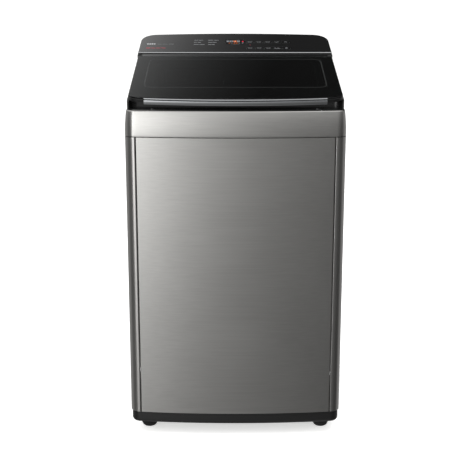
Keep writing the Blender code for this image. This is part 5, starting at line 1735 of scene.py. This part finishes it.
def basket_ring():
    """Hollow ring filled with brine, ribbed on top and scalloped inside."""
    outer, inner = BASKET_RADIUS + 0.003, 0.188
    profile = [(inner + 0.006, RING_LOW)] + mm(-4, 0, -1, 2, 0, 5, at=(outer, RING_LOW))
    profile += mm(0, -10, -2, -5, -7, -1, -10, 0, at=(outer, RING_HIGH))
    profile += mm(22, 0, 20.5, -1.2, 16.5, -1.2, 15, 0, 12, 0, 6, -4, 2, -10, 0, -16, at=(inner, RING_HIGH))
    profile += [(inner, RING_LOW + 0.01), (inner + 0.002, RING_LOW + 0.003)]
    scallop = lambda angle, radius, height: 0.0012 * max(cos(36 * angle), 0) if radius < inner + 0.001 else 0.0
    body = BODY_OF["balance_ring"]
    bm = turned(profile, 144, TUB_CENTRE, closed=True, wobble=scallop)
    finish_piece("balance_ring_body", bm, "pale_grey_polypropylene", "balance_ring")
    bm = bmesh.new()
    for angle in turns_of(8):
        way = (cos(angle + 0.39), sin(angle + 0.39), 0)
        place = (
            BASKET_RADIUS * way[0] + way[0] * 0.0029, TUB_Y + BASKET_RADIUS * way[1] + way[1] * 0.0029,
            RING_LOW + 0.012
        )
        screw_head(bm, place, way, 0.0036, 0.0018)
    finish_piece("balance_ring_screws", bm, "zinc_plated_steel", body=body)


def basket_filter(side, hand):
    """A white frame with a fine net in front, hooked on the basket's wall."""
    low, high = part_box(f"{hand}_lint_filter")
    outer, thick, half = max(abs(low.x), abs(high.x)), 0.016, radians(12)
    body = BODY_OF[f"{hand}_lint_filter"]

    def bar(bm, radii, angles, z, steps=8):
        """A curved bar between two radii, two angles and two heights."""
        spread_angles = [angles[0] + (angles[1] - angles[0]) * i / steps for i in range(steps + 1)]
        loops = []
        for a in spread_angles:
            way = (side * cos(a), sin(a))
            loops.append(
                [
                    (r * way[0], TUB_Y + r * way[1], h)
                    for r, h in ((radii[0], z[0]), (radii[1], z[0]), (radii[1], z[1]), (radii[0], z[1]))
                ]
            )
        skin(loops, bm=bm)

    bm = bmesh.new()
    shut = (low.z, high.z)
    bar(bm, (outer - 0.0014, outer), (-half, half), shut)
    for a in (-half, half * 0.86):
        bar(bm, (outer - thick, outer - 0.0013), (a, a + half * 0.14), shut, 1)
    for z in ((shut[0], shut[0] + 0.006), (shut[1] - 0.01, shut[1])):
        bar(bm, (outer - thick, outer - 0.0013), (-half * 0.87, half * 0.87), z)
    for z in (0.51, 0.575):
        bar(bm, (outer - thick, outer - thick + 0.0022), (-half * 0.87, half * 0.87), (z, z + 0.003))
    for a in (-0.3, 0.27):
        bar(
            bm, (outer - thick, outer - thick + 0.0022), (half * a, half * (a + 0.03)),
            (shut[0] + 0.006, shut[1] - 0.01), 1
        )
    bar(
        bm, (outer - thick - 0.002, outer - thick), (-half * 0.35, half * 0.35),
        (shut[1] - 0.0085, shut[1] - 0.0015)
    )
    finish_piece(f"{hand}_filter_frame", bm, "white_polypropylene", f"{hand}_lint_filter")
    bm = bmesh.new()
    net = (outer - thick + 0.0006, outer - thick + 0.0011)
    rows = 42
    for i in range(rows):
        z = shut[0] + 0.006 + (shut[1] - shut[0] - 0.016) * i / rows
        bar(bm, net, (-half * 0.86, half * 0.86), (z, z + 0.0006), 4)
    for i in range(22):
        a = half * (-0.86 + 1.72 * i / 22)
        bar(bm, net, (a, a + 0.0026), (shut[0] + 0.006, shut[1] - 0.01), 1)
    finish_piece(f"{hand}_filter_net", bm, "blue_polypropylene", body=body)


def basket_wash_plate():
    """Shallow cone with six curved vanes and a raised hub cap."""
    steps, vanes, radius, wall = 180, 6, 0.165, 0.0028
    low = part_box("pulsator")[0].z + 0.0015
    rings = [0.02 + 0.125 * i / 22 for i in range(23)] + [0.152, 0.158, 0.162]

    def ring(r, height_at):
        return [(r * cos(a), TUB_Y + r * sin(a), height_at(a)) for a in turns_of(steps)]

    def face(r, drop):
        along = sin(pi * min(max((r - 0.03) / (radius - 0.034), 0), 1))
        crown = 0.01 + 0.01 * (1 - r / radius) ** 2
        return ring(r, lambda a: low + crown - drop + 0.017 * along * max(cos(vanes * a - 6 * r), 0) ** 2)

    loops = [face(r, 0) for r in rings]
    loops += [
        ring(radius - 0.0008, lambda a: low + 0.0075), ring(radius, lambda a: low + 0.004),
        ring(radius, lambda a: low)
    ]
    loops.append(ring(radius - wall, lambda a: low))
    loops += [face(r, wall) for r in reversed(rings[1:])]
    loops += [ring(0.022, lambda a: low + 0.004), ring(0.022, lambda a: low), ring(0.015, lambda a: low)]
    loops.append(ring(0.015, lambda a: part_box("pulsator")[0].z))
    body = BODY_OF["pulsator"]
    finish_piece("wash_plate_disc", skin(loops), "blue_grey_polypropylene", "pulsator")
    top = low + 0.0185
    cap = mm(29.5, -2, 30, -0.4, 28.5, 1, 20, 2.8, 10, 4, 3, 4.4, at=(0, top))
    finish_piece("wash_plate_cap", turned(cap, 48, TUB_CENTRE), "white_polypropylene", body=body)


class WASHER_OT_basket(bpy.types.Operator):
    """Builds the perforated basket, its balance ring, the lint filters and the wash plate"""

    bl_idname = "washer.basket"
    bl_label = "Basket and wash plate"

    def execute(self, context):
        sizes = context.scene.washer_sizes
        basket_wall(sizes)
        basket_floor(sizes)
        basket_ring()
        for side, hand in ((-1, "left"), (1, "right")):
            basket_filter(side, hand)
        basket_wash_plate()
        return {"FINISHED"}


def drive_plate():
    low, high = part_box("drive_frame")
    x, y = (low.x, high.x), (low.y - TUB_Y, high.y - TUB_Y)
    body = BODY_OF["drive_frame"]
    bm = holed_plate(bmesh.new(), TUB_CENTRE, 0, x, y, 0.048, low.z, high.z, 48)
    for side in (low.y, high.y - 0.002):
        box((low.x, high.x), (side, side + 0.002), (low.z - 0.014, low.z + 0.0001), bm)
    for at in (-0.12, 0.15):
        box((at, at + 0.03), (low.y + 0.002, high.y - 0.002), (low.z - 0.0035, low.z + 0.0001), bm)
    finish_piece("drive_plate", bm, "galvanised_sheet_steel", "drive_frame")
    bm = bmesh.new()
    for px, py in mm(-155, -85, -155, 55, 190, -85, 190, 55):
        prism(
            [(px + 0.0075 * cos(a), py + 0.0075 * sin(a)) for a in turns_of(6)], low.z - 0.0052, low.z - 0.0002, bm
        )
        turned([(0.01, low.z - 0.0014), (0.01, low.z - 0.0001)], 24, (px, py), bm=bm)
    finish_piece("drive_plate_bolts", bm, "zinc_plated_steel", body=body)


def drive_clutch():
    """Cast housing with ribs, its bearing cap and the splined shaft up to the wash plate."""
    low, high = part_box("clutch_housing")
    body = BODY_OF["clutch_housing"]
    profile = [(0.008, low.z)] + mm(8, 160, 38, 163.5, 40, 165, 53.5, 173.5, 56, 176)
    for level in (0.19, 0.205, 0.22, 0.235):
        profile += mm(54.5, 0, 54.5, 8, 56, 9, 56, 13, at=(0, level))
    profile += mm(56, 250, 59, 270, 62, 284, 62, 289.6, 47, 289.7, 47, 299.7)
    profile += mm(27, 299.7, 27, 311, 26.2, 312, 17.2, 314) + [(0.017, high.z - 0.001), (0.016, high.z)]
    bm = turned(profile, 64, TUB_CENTRE)
    finish_piece("clutch_case", bm, "cast_aluminium", "clutch_housing")
    bm = bmesh.new()
    for angle in turns_of(8):
        loops = []
        for side in (-0.0015, 0.0015):
            web = mm(55, 248, 61, 289, 55.5, 289)
            loops.append(
                [
                    (r * cos(angle) - side * sin(angle), TUB_Y + r * sin(angle) + side * cos(angle), z)
                    for r, z in web
                ]
            )
        skin(loops, bm=bm)
        spot = (0.0465 * cos(angle + 0.39), TUB_Y + 0.0465 * sin(angle + 0.39))
        hex_nut(bm, spot, 0.005, 0.164, 0.1712)
    finish_piece("clutch_ribs_and_bolts", bm, "zinc_plated_steel", body=body, slot="cast_aluminium")
    bm = box((-0.078, -0.057), (TUB_Y - 0.006, TUB_Y + 0.006), (0.196, 0.2))
    box((-0.082, -0.078), (TUB_Y - 0.01, TUB_Y + 0.01), (0.188, 0.214), bm)
    lathed([(0.004, -0.058), (0.004, 0.0)], 16, (-0.08, TUB_Y + 0.006, 0.208), (0, 1, 0), bm=bm)
    finish_piece("clutch_release_lever", bm, "zinc_plated_steel", body=body)


def drive_motor():
    """Two end bells on bolts, a stack of laminations, copper windings and the shaft."""
    low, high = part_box("motor")
    centre = ((low.x + high.x) / 2, (low.y + high.y) / 2)
    body = BODY_OF["motor"]
    bells = bmesh.new()
    slots = lambda angle, radius, height: -0.006 * max(cos(9 * angle), 0) ** 4 if 0.036 < radius < 0.06 else 0.0
    lower = [(0.006, low.z)] + mm(6, 165.5, 15, 166.5, 30, 168, 44, 171.5, 56, 176.5, 61, 185, 61.5, 194, 56, 194.1)
    upper = mm(56, 253.9, 61.5, 254, 61, 263, 56, 273.5, 44, 277.5, 30, 280) + [(0.03, high.z), (0.01, high.z)]
    turned(lower, 108, centre, bm=bells, wobble=slots)
    turned(upper, 108, centre, bm=bells, wobble=slots)
    finish_piece("motor_end_bells", bells, "cast_aluminium", "motor", slot="galvanised_sheet")
    stack = []
    for i in range(20):
        z = 0.208 + i * 0.0016
        stack += mm(59.8, 0, 60.6, 0.3, 60.6, 1.2, 59.8, 1.5, at=(0, z))
    profile = [(0.04, 0.2079)] + stack + [(0.04, 0.2401)]
    finish_piece("motor_laminations", turned(profile, 72, centre), "galvanised_sheet_steel", body=body)
    bm = bmesh.new()
    bulge = lambda angle, radius, height: 0.0016 * abs(cos(12 * angle))
    for z in ((0.1942, 0.2078), (0.2402, 0.2538)):
        ring = mm(40, 0, 52, 0, 55.5, 3, at=(0, z[0])) + mm(55.5, -3, 52, 0, 40, 0, at=(0, z[1]))
        turned(ring, 144, centre, bm=bm, wobble=bulge)
    finish_piece("motor_windings", bm, "enamelled_copper_wire", body=body)
    bm = bmesh.new()
    for angle in turns_of(4):
        spot = (centre[0] + 0.0645 * cos(angle + 0.6), centre[1] + 0.0645 * sin(angle + 0.6))
        turned([(0.0022, 0.186), (0.0022, 0.27)], 12, spot, bm=bm)
        hex_nut(bm, spot, 0.0042, 0.182, 0.1862)
        hex_nut(bm, spot, 0.0042, 0.2698, 0.274)
    finish_piece("motor_through_bolts", bm, "zinc_plated_steel", body=body)


def drive_pulleys():
    """Grooved rims; the large pulley has five spokes."""
    for node, spokes in (("clutch_pulley", 5), ("motor_pulley", 0)):
        low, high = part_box(node)
        centre = ((low.x + high.x) / 2, (low.y + high.y) / 2)
        radius = (high.x - low.x) / 2
        bottom, top = low.z + 0.004, high.z - 0.0015
        floor = radius - 0.006
        rim = mm(-1, 0, 0, 0.8, 0, 2.8, at=(radius, bottom))
        rim += [(floor, bottom + 0.0068), (floor, top - 0.0068)]
        rim += mm(0, -2.8, 0, -0.8, -1, 0, at=(radius, top))
        hub = radius * 0.35
        if spokes:
            rim += [(floor - 0.006, top), (floor - 0.006, bottom)]
            bm = turned(rim, 96, centre, closed=True)
            turned(
                [
                    (hub * 0.6, low.z), (hub, low.z + 0.001), (hub, bottom + 0.006), (hub * 0.7, top), (0.012, top),
                    (0.012, high.z)
                ], 48, centre, bm=bm
            )
            for angle in turns_of(spokes):
                turned_box(
                    bm, centre, angle, (hub - 0.003, floor - 0.0055), (-0.006, 0.006),
                    (bottom + 0.003, bottom + 0.01)
                )
                turned_box(
                    bm, centre, angle, (hub - 0.003, floor - 0.0055), (-0.0015, 0.0015),
                    (bottom + 0.0095, top - 0.001)
                )
        else:
            profile = [(hub, low.z), (hub, bottom)] + rim + [(0.012, top), (0.012, high.z)]
            bm = turned(profile, 64, centre)
        finish_piece(node + "_wheel", bm, "cast_aluminium", node)
        bm = bmesh.new()
        hex_nut(bm, centre, 0.0062, low.z - 0.005, low.z - 0.0001)
        finish_piece(node + "_nut", bm, "zinc_plated_steel", body=BODY_OF[node])


def drive_belt():
    """Ribbed belt: three small V ribs on its inner face."""
    low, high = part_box("drive_belt")
    big_box, small_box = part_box("clutch_pulley"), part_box("motor_pulley")
    big = (big_box[1].x - big_box[0].x) / 2 - 0.006 + 0.0012
    small = (small_box[1].x - small_box[0].x) / 2 - 0.006 + 0.0012
    far = (small_box[0].x + small_box[1].x) / 2

    def run(grow):
        lean = asin((big - small) / far)
        points = []
        for i in range(21):
            angle = -(pi / 2 - lean) + (pi - 2 * lean) * i / 20
            points.append((far + (small + grow) * cos(angle), TUB_Y + (small + grow) * sin(angle)))
        for i in range(61):
            angle = (pi / 2 - lean) + (pi + 2 * lean) * i / 60
            points.append(((big + grow) * cos(angle), TUB_Y + (big + grow) * sin(angle)))
        return points

    pitch = (high.z - low.z) / 3
    section = []
    for i in range(3):
        base = low.z + i * pitch
        section += [
            (0.0016, base + 0.0001), (0.0, base + pitch * 0.35), (0.0, base + pitch * 0.65),
            (0.0016, base + pitch - 0.0001)
        ]
    section += [(0.0041, high.z), (0.0045, high.z - 0.0004), (0.0045, low.z + 0.0004), (0.0041, low.z)]
    loops = [[(x, y, z) for x, y in run(grow)] for grow, z in section]
    finish_piece("ribbed_belt", skin(loops, wrap=True), "moulded_rubber", "drive_belt")


class WASHER_OT_drive(bpy.types.Operator):
    """Builds the drive under the tub: frame, clutch, motor, pulleys and belt"""

    bl_idname = "washer.drive"
    bl_label = "Drive"

    def execute(self, context):
        drive_plate()
        drive_clutch()
        drive_motor()
        drive_pulleys()
        drive_belt()
        return {"FINISHED"}


def suspension_rod(name, x, y):
    node = f"suspension_rod_{name}"
    low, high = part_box(node)
    spring_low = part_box(f"suspension_spring_{name}")[0].z
    body = BODY_OF[node]
    rod = [(0.0036, spring_low - 0.01), (0.004, spring_low - 0.009)]
    rod += mm(4, -11, 6, -10, 6, -4, 4.5, -1, 3, 0, at=(0, high.z))
    finish_piece(f"{name}_rod", turned(rod, 32, (x, y)), "zinc_plated_steel", node)
    grip = lambda angle, radius, height: -0.0008 * max(cos(12 * angle), 0) if radius > 0.016 else 0.0
    cap = mm(10, 0, 15, 0.8, 16.8, 2.4, 17, 4, at=(0, low.z))
    cap += mm(17, -1.2, 16.4, -0.4, 13, -0.3, 6, -0.3, at=(0, spring_low))
    finish_piece(f"{name}_spring_seat", turned(cap, 72, (x, y), wobble=grip), "natural_nylon", body=body)
    ball = mm(6.2, -11.8, 9.5, -11.6, 11, -10.4, 10.6, -8.5, 8.5, -6.2, 6.2, -5.2, at=(0, high.z))
    finish_piece(f"{name}_hanger_ball", turned(ball, 40, (x, y), closed=True), "natural_nylon", body=body)


def suspension_spring(name, x, y):
    """Coil spring with closed ends."""
    node = f"suspension_spring_{name}"
    low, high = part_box(node)
    wire, radius, coils, per_turn = 0.0014, 0.011, 7.5, 32
    count = int(coils * per_turn)
    points = []
    for i in range(count + 1):
        turns = i / per_turn
        if turns < 1:
            share = 0.035 * turns
        elif turns > coils - 1:
            share = 1 - 0.035 * (coils - turns)
        else:
            share = 0.035 + 0.93 * (turns - 1) / (coils - 2)
        angle = 2 * pi * turns
        height = low.z + wire + (high.z - low.z - 2 * wire) * share
        points.append((x + radius * cos(angle), y + radius * sin(angle), height))
    piece = finish_piece(f"{name}_spring", tube(points, wire, 10), "zinc_plated_steel", node)
    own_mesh(piece)


class WASHER_OT_suspension(bpy.types.Operator):
    """Builds the four suspension rods and their springs"""

    bl_idname = "washer.suspension"
    bl_label = "Suspension"

    def execute(self, context):
        for name, x, y in corner_rods():
            suspension_rod(name, x, y)
            suspension_spring(name, x, y)
        return {"FINISHED"}


def drain_hose(valve_x, valve_y, valve_z, tub_body):
    """Corrugated hose with plain cuffs and a wire clamp on each end."""
    low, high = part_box("drain_outlet")
    exit_point = Vector(((low.x + high.x) / 2, low.y, (low.z + high.z) / 2))
    start = Vector((valve_x, valve_y + GAP, valve_z))
    end = exit_point - Vector((0, GAP, 0))
    pull_out, pull_in = start + Vector((0, 0.079, 0)), end - Vector((0, 0.099, 0))
    count = 220
    points = []
    for i in range(count + 1):
        t = i / count
        s = 1 - t
        points.append(start * s**3 + pull_out * 3 * s * s * t + pull_in * 3 * s * t * t + end * t**3)

    def radius_at(i):
        near = min(i, count - i)
        if near < 16:
            return 0.015
        return 0.0136 + 0.0013 * cos(2 * pi * i / 5)

    hose = finish_piece(
        "ribbed_drain_hose", tube(points, radius_at, 28), "moulded_rubber", "drain_hose", body=False
    )
    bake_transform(hose)
    for name, at, body in (
        ("tub_end", start.y + 0.006, tub_body), ("outlet_end", end.y - 0.006, BODY_OF["drain_outlet"])
    ):
        origin = Vector((start.x if name == "tub_end" else end.x, at, start.z if name == "tub_end" else end.z))
        band = mm(15.1, -3.5, 16, -3.5, 16, 3.5, 15.1, 3.5)
        bm = lathed(band, 40, origin, (0, 1, 0), closed=True)
        box(
            (origin.x + 0.014, origin.x + 0.0225), (at - 0.0035, at + 0.0035),
            (origin.z - 0.0045, origin.z - 0.003), bm
        )
        box(
            (origin.x + 0.014, origin.x + 0.0225), (at - 0.0035, at + 0.0035),
            (origin.z + 0.003, origin.z + 0.0045), bm
        )
        lathed([(0.002, -0.008), (0.002, 0.008)], 16, origin + Vector((0.0195, 0, 0)), (0, 0, 1), bm=bm)
        finish_piece(f"hose_clamp_{name}", bm, "zinc_plated_steel", body=body)
    drain_outlet(low, high, exit_point)


def drain_outlet(low, high, centre):
    """Spigot with a flange and barbs for the hose that the owner fits."""
    reach = high.y - low.y
    profile = mm(12, 10, 14.5, 0, 16, 0, 16, 26)
    profile += [(0.016, 0.034)]
    for i in range(2):
        at = 0.0345 + i * 0.0035
        profile += mm(15.2, 0, 16, 0.8, 15.4, 3, at=(0, at))
    profile += mm(16, -0.4, 15.7, 0, 12, 0, at=(0, reach))
    bm = lathed(profile, 48, (centre.x, low.y, centre.z), (0, 1, 0), closed=True)
    finish_piece("drain_spigot", bm, "grained_black_plastic", "drain_outlet")


class WASHER_OT_drain(bpy.types.Operator):
    """Builds the drain valve, the ribbed drain hose and the outlet"""

    bl_idname = "washer.drain"
    bl_label = "Drain"

    def execute(self, context):
        low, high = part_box("drain_valve")
        reach = (high.x - low.x) / 2
        centre = ((low.x + high.x) / 2, low.y + reach)
        level = 0.262
        body = BODY_OF["drain_valve"]
        profile = mm(18, 0, 25, 0.8, 26, 2, at=(0, low.z))
        profile += mm(28, 238, 30, 240, 30, 244, 27.5, 245, 27.5, 282, 30, 284)
        profile += [(0.03, high.z), (0.02, high.z)]
        bm = turned(profile, 64, centre)
        barb = [(0.014, 0.0), (0.014, high.y - centre[1] - 0.024)]
        for i in range(4):
            at = high.y - centre[1] - 0.023 + i * 0.0055
            barb += mm(13.2, 0, 14.5, 1, 13.2, 5.2, at=(0, at))
        lathed(barb + [(0.0118, high.y - centre[1])], 40, (*centre, level), (0, 1, 0), bm=bm)
        finish_piece("valve_body", bm, "white_polypropylene", "drain_valve")
        bm = bmesh.new()
        for angle in turns_of(6):
            screw_head(
                bm, (centre[0] + 0.0215 * cos(angle), centre[1] + 0.0215 * sin(angle), low.z + 0.0001), (0, 0, -1),
                0.0028, 0.0014
            )
        box((centre[0] - 0.06, centre[0] - 0.03), (centre[1] - 0.018, centre[1] + 0.018), (0.248, 0.28), bm)
        finish_piece("valve_actuator", bm, "satin_black_plastic", body=body)
        drain_hose(centre[0], high.y, level, body)
        return {"FINISHED"}


def fitting_water_valve():
    """Twin valve block with two coils, and two threaded spigots out of the back."""
    low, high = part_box("water_inlet_valve")
    body = BODY_OF["water_inlet_valve"]
    back = 0.261
    bm = prism(soft_rect((low.x, high.x), (low.y + 0.016, back), 0.005, 5), low.z + 0.001, high.z - 0.001)
    level = (low.z + high.z) / 2
    for x in (low.x + 0.02, high.x - 0.02):
        reach = high.y - 0.25
        profile = mm(8, 20, 8, 10, 13, 0)
        start = 0.018
        for i in range(int((reach - start - 0.003) / 0.0018)):
            at = start + i * 0.0018
            profile += mm(13.2, 0, 13.2, 0.4, 12.2, 0.9, 12.2, 1.3, at=(0, at))
        profile += mm(12.6, -1, 11.8, 0, 8, 0, at=(0, reach))
        lathed(profile, 48, (x, 0.25, level), (0, 1, 0), bm=bm, closed=True)
    finish_piece("water_valve_block", bm, "white_polypropylene", "water_inlet_valve")
    bm = bmesh.new()
    for x in (low.x + 0.02, high.x - 0.02):
        ring = mm(8, 0, 15, 0, 16, 1, 16, 15, 8, 15.8, at=(0, low.y))
        lathed(ring, 36, (x, 0, level), (0, 1, 0), bm=bm)
        box((x - 0.003, x + 0.003), (low.y + 0.004, low.y + 0.0045 + 0.006), (high.z - 0.002, high.z + 0.006), bm)
    finish_piece("water_valve_coils", bm, "blue_polypropylene", body=body, slot="")


def fitting_dispenser():
    """Thin box, open at the front, with a ribbed roof."""
    low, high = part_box("dispenser_housing")
    wall = 0.002
    body = box((low.x, high.x), (low.y, high.y), (low.z, high.z))
    pocket = box((low.x + wall, high.x - wall), (low.y - 0.02, high.y - wall), (low.z + wall, high.z - wall))
    drain = box((low.x + 0.03, high.x - 0.03), (low.y + 0.06, low.y + 0.09), (low.z - 0.01, low.z + 0.01))
    mesh = baked(body, [("DIFFERENCE", pocket), ("DIFFERENCE", drain)], bevel=0.0006)
    owner = BODY_OF["dispenser_housing"]
    finish_mesh("dispenser_box", mesh, "dark_grey_polypropylene", "dispenser_housing")
    bm = bmesh.new()
    for i in range(9):
        x = low.x + 0.012 + i * 0.0165
        box((x, x + 0.0016), (low.y + 0.046, high.y - 0.004), (high.z - 0.0001, high.z + 0.0035), bm)
    finish_piece("dispenser_ribs", bm, "pale_grey_polypropylene", body=owner)


def fitting_drawer(sizes):
    low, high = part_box("detergent_drawer")
    wall, lip = 0.002, 0.006
    middle = (low.x + high.x) / 2 + 0.02
    body = box((low.x, high.x), (low.y, high.y), (low.z, high.z))
    tools = []
    for x in ((low.x + wall, middle - wall / 2), (middle + wall / 2, high.x - wall)):
        well = soft_rect((x[0], x[1]), (low.y + lip, high.y - wall), 0.006, 5)
        tools.append(("DIFFERENCE", prism(well, low.z + wall, high.z + 0.01)))
    pull = soft_rect((low.x + 0.045, high.x - 0.045), (low.y - 0.02, low.y + 0.0035), 0.003, 4)
    tools.append(("DIFFERENCE", prism(pull, low.z + 0.01, low.z + 0.024)))
    mesh = baked(body, tools, bevel=sizes.moulded_edge * 0.8, segments=3)
    owner = BODY_OF["detergent_drawer"]
    finish_mesh("drawer_tray", mesh, "dark_grey_polypropylene", "detergent_drawer")
    cup = soft_rect((middle + 0.004, high.x - 0.005), (low.y + 0.03, low.y + 0.062), 0.006, 5)
    insert = prism(cup, low.z + wall, low.z + 0.024)
    finish_piece("softener_siphon_cap", insert, "blue_polypropylene", body=owner, angle=40)


def fitting_board():
    """Board with relays, capacitors and connectors below, and a switch under each key."""
    low, high = (-0.04, 0.1075), (0.1665, 0.234)
    x, y = (low[0], high[0]), (low[1], high[1])
    owner = BODY_OF["control_board"]
    board = prism(soft_rect(x, y, 0.004, 4), on_slope(-0.0008), on_slope(0.0009))
    finish_piece("key_board", board, "green_circuit_board", "control_board")
    black, white, metal = bmesh.new(), bmesh.new(), bmesh.new()
    for at_x, at_y in mm(12, 134, 30, 134, 48, 134):
        prism(
            soft_rect((at_x, at_x + 0.015), (at_y, at_y + 0.02), 0.001, 2), on_slope(-0.015), on_slope(-0.0009),
            black
        )
    for at_x in (-0.03, 0.08, 0.11):
        prism(soft_rect((at_x, at_x + 0.02), (0.216, 0.226), 0.0008, 2), on_slope(-0.009), on_slope(-0.0009), white)
    for name in KEYS:
        key_low, key_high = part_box(name)
        at = (key_low + key_high) / 2
        prism(
            soft_rect((at.x - 0.003, at.x + 0.003), (at.y - 0.0078, at.y - 0.003), 0.0005, 2), on_slope(0.0009),
            on_slope(0.0019), metal
        )
    for at_x, at_y in mm(85, 150, 100, 150, 120, 165):
        at_z = plane_z(at_y, -0.0009)
        turned(mm(4.5, -12, 5, -11.5, 5, -0.5, at=(0, at_z)), 24, (at_x, at_y), bm=metal)
    finish_piece("board_relays", black, "satin_black_plastic", body=owner, slot="")
    finish_piece("board_connectors", white, "natural_nylon", body=owner, slot="")
    finish_piece("board_capacitors_and_switches", metal, "zinc_plated_steel", body=owner, slot="")


def fitting_damper():
    low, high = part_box("lid_damper")
    centre = ((low.y + high.y) / 2, (low.z + high.z) / 2)
    length = high.x - low.x
    profile = mm(3, 0, 8.5, 0, 9, 0.6, 9, 8, 8.2, 8.6, 8.2, 17, 9, 17.6)
    profile += mm(9, -0.6, 8.4, 0, 3, 0, at=(0, length))
    bm = lathed(profile, 48, (low.x, *centre), (1, 0, 0))
    finish_piece("damper_body", bm, "grained_black_plastic", "lid_damper")


class WASHER_OT_fittings(bpy.types.Operator):
    """Builds what sits in the console: water valve, dispenser and drawer, board and lid damper"""

    bl_idname = "washer.fittings"
    bl_label = "Console fittings"

    def execute(self, context):
        sizes = context.scene.washer_sizes
        fitting_water_valve()
        fitting_dispenser()
        fitting_drawer(sizes)
        fitting_board()
        fitting_damper()
        return {"FINISHED"}


OPERATORS = (
    WASHER_OT_stage, WASHER_OT_cabinet, WASHER_OT_base, WASHER_OT_deck, WASHER_OT_console, WASHER_OT_controls,
    WASHER_OT_lid, WASHER_OT_tub, WASHER_OT_basket, WASHER_OT_drive, WASHER_OT_suspension, WASHER_OT_drain,
    WASHER_OT_fittings
)


class WASHER_PT_sidebar(bpy.types.Panel):
    """Lists the washing machine's pieces in the sidebar."""

    bl_idname = "WASHER_PT_sidebar"
    bl_label = "Washing machine"
    bl_space_type = "VIEW_3D"
    bl_region_type = "UI"
    bl_category = "Washer"

    def draw(self, context):
        for operator in OPERATORS:
            self.layout.operator(operator.bl_idname)
        for group in (context.scene.washer_sizes, context.scene.washer_finishes, context.scene.washer_stage):
            for name in group.bl_rna.properties.keys():
                if name not in ("rna_type", "name"):
                    self.layout.prop(group, name)


GROUPS = (("washer_sizes", WasherSizes), ("washer_finishes", WasherFinishes), ("washer_stage", WasherStage))


def register():
    for name, group in GROUPS:
        bpy.utils.register_class(group)
        setattr(bpy.types.Scene, name, PointerProperty(type=group))
    for operator in OPERATORS:
        bpy.utils.register_class(operator)
    bpy.utils.register_class(WASHER_PT_sidebar)


def unregister():
    bpy.utils.unregister_class(WASHER_PT_sidebar)
    for operator in reversed(OPERATORS):
        bpy.utils.unregister_class(operator)
    for name, group in reversed(GROUPS):
        delattr(bpy.types.Scene, name)
        bpy.utils.unregister_class(group)


def main():
    register()
    for operator in OPERATORS:
        group, name = operator.bl_idname.split(".")
        getattr(getattr(bpy.ops, group), name)()


if __name__ == "__main__":
    main()
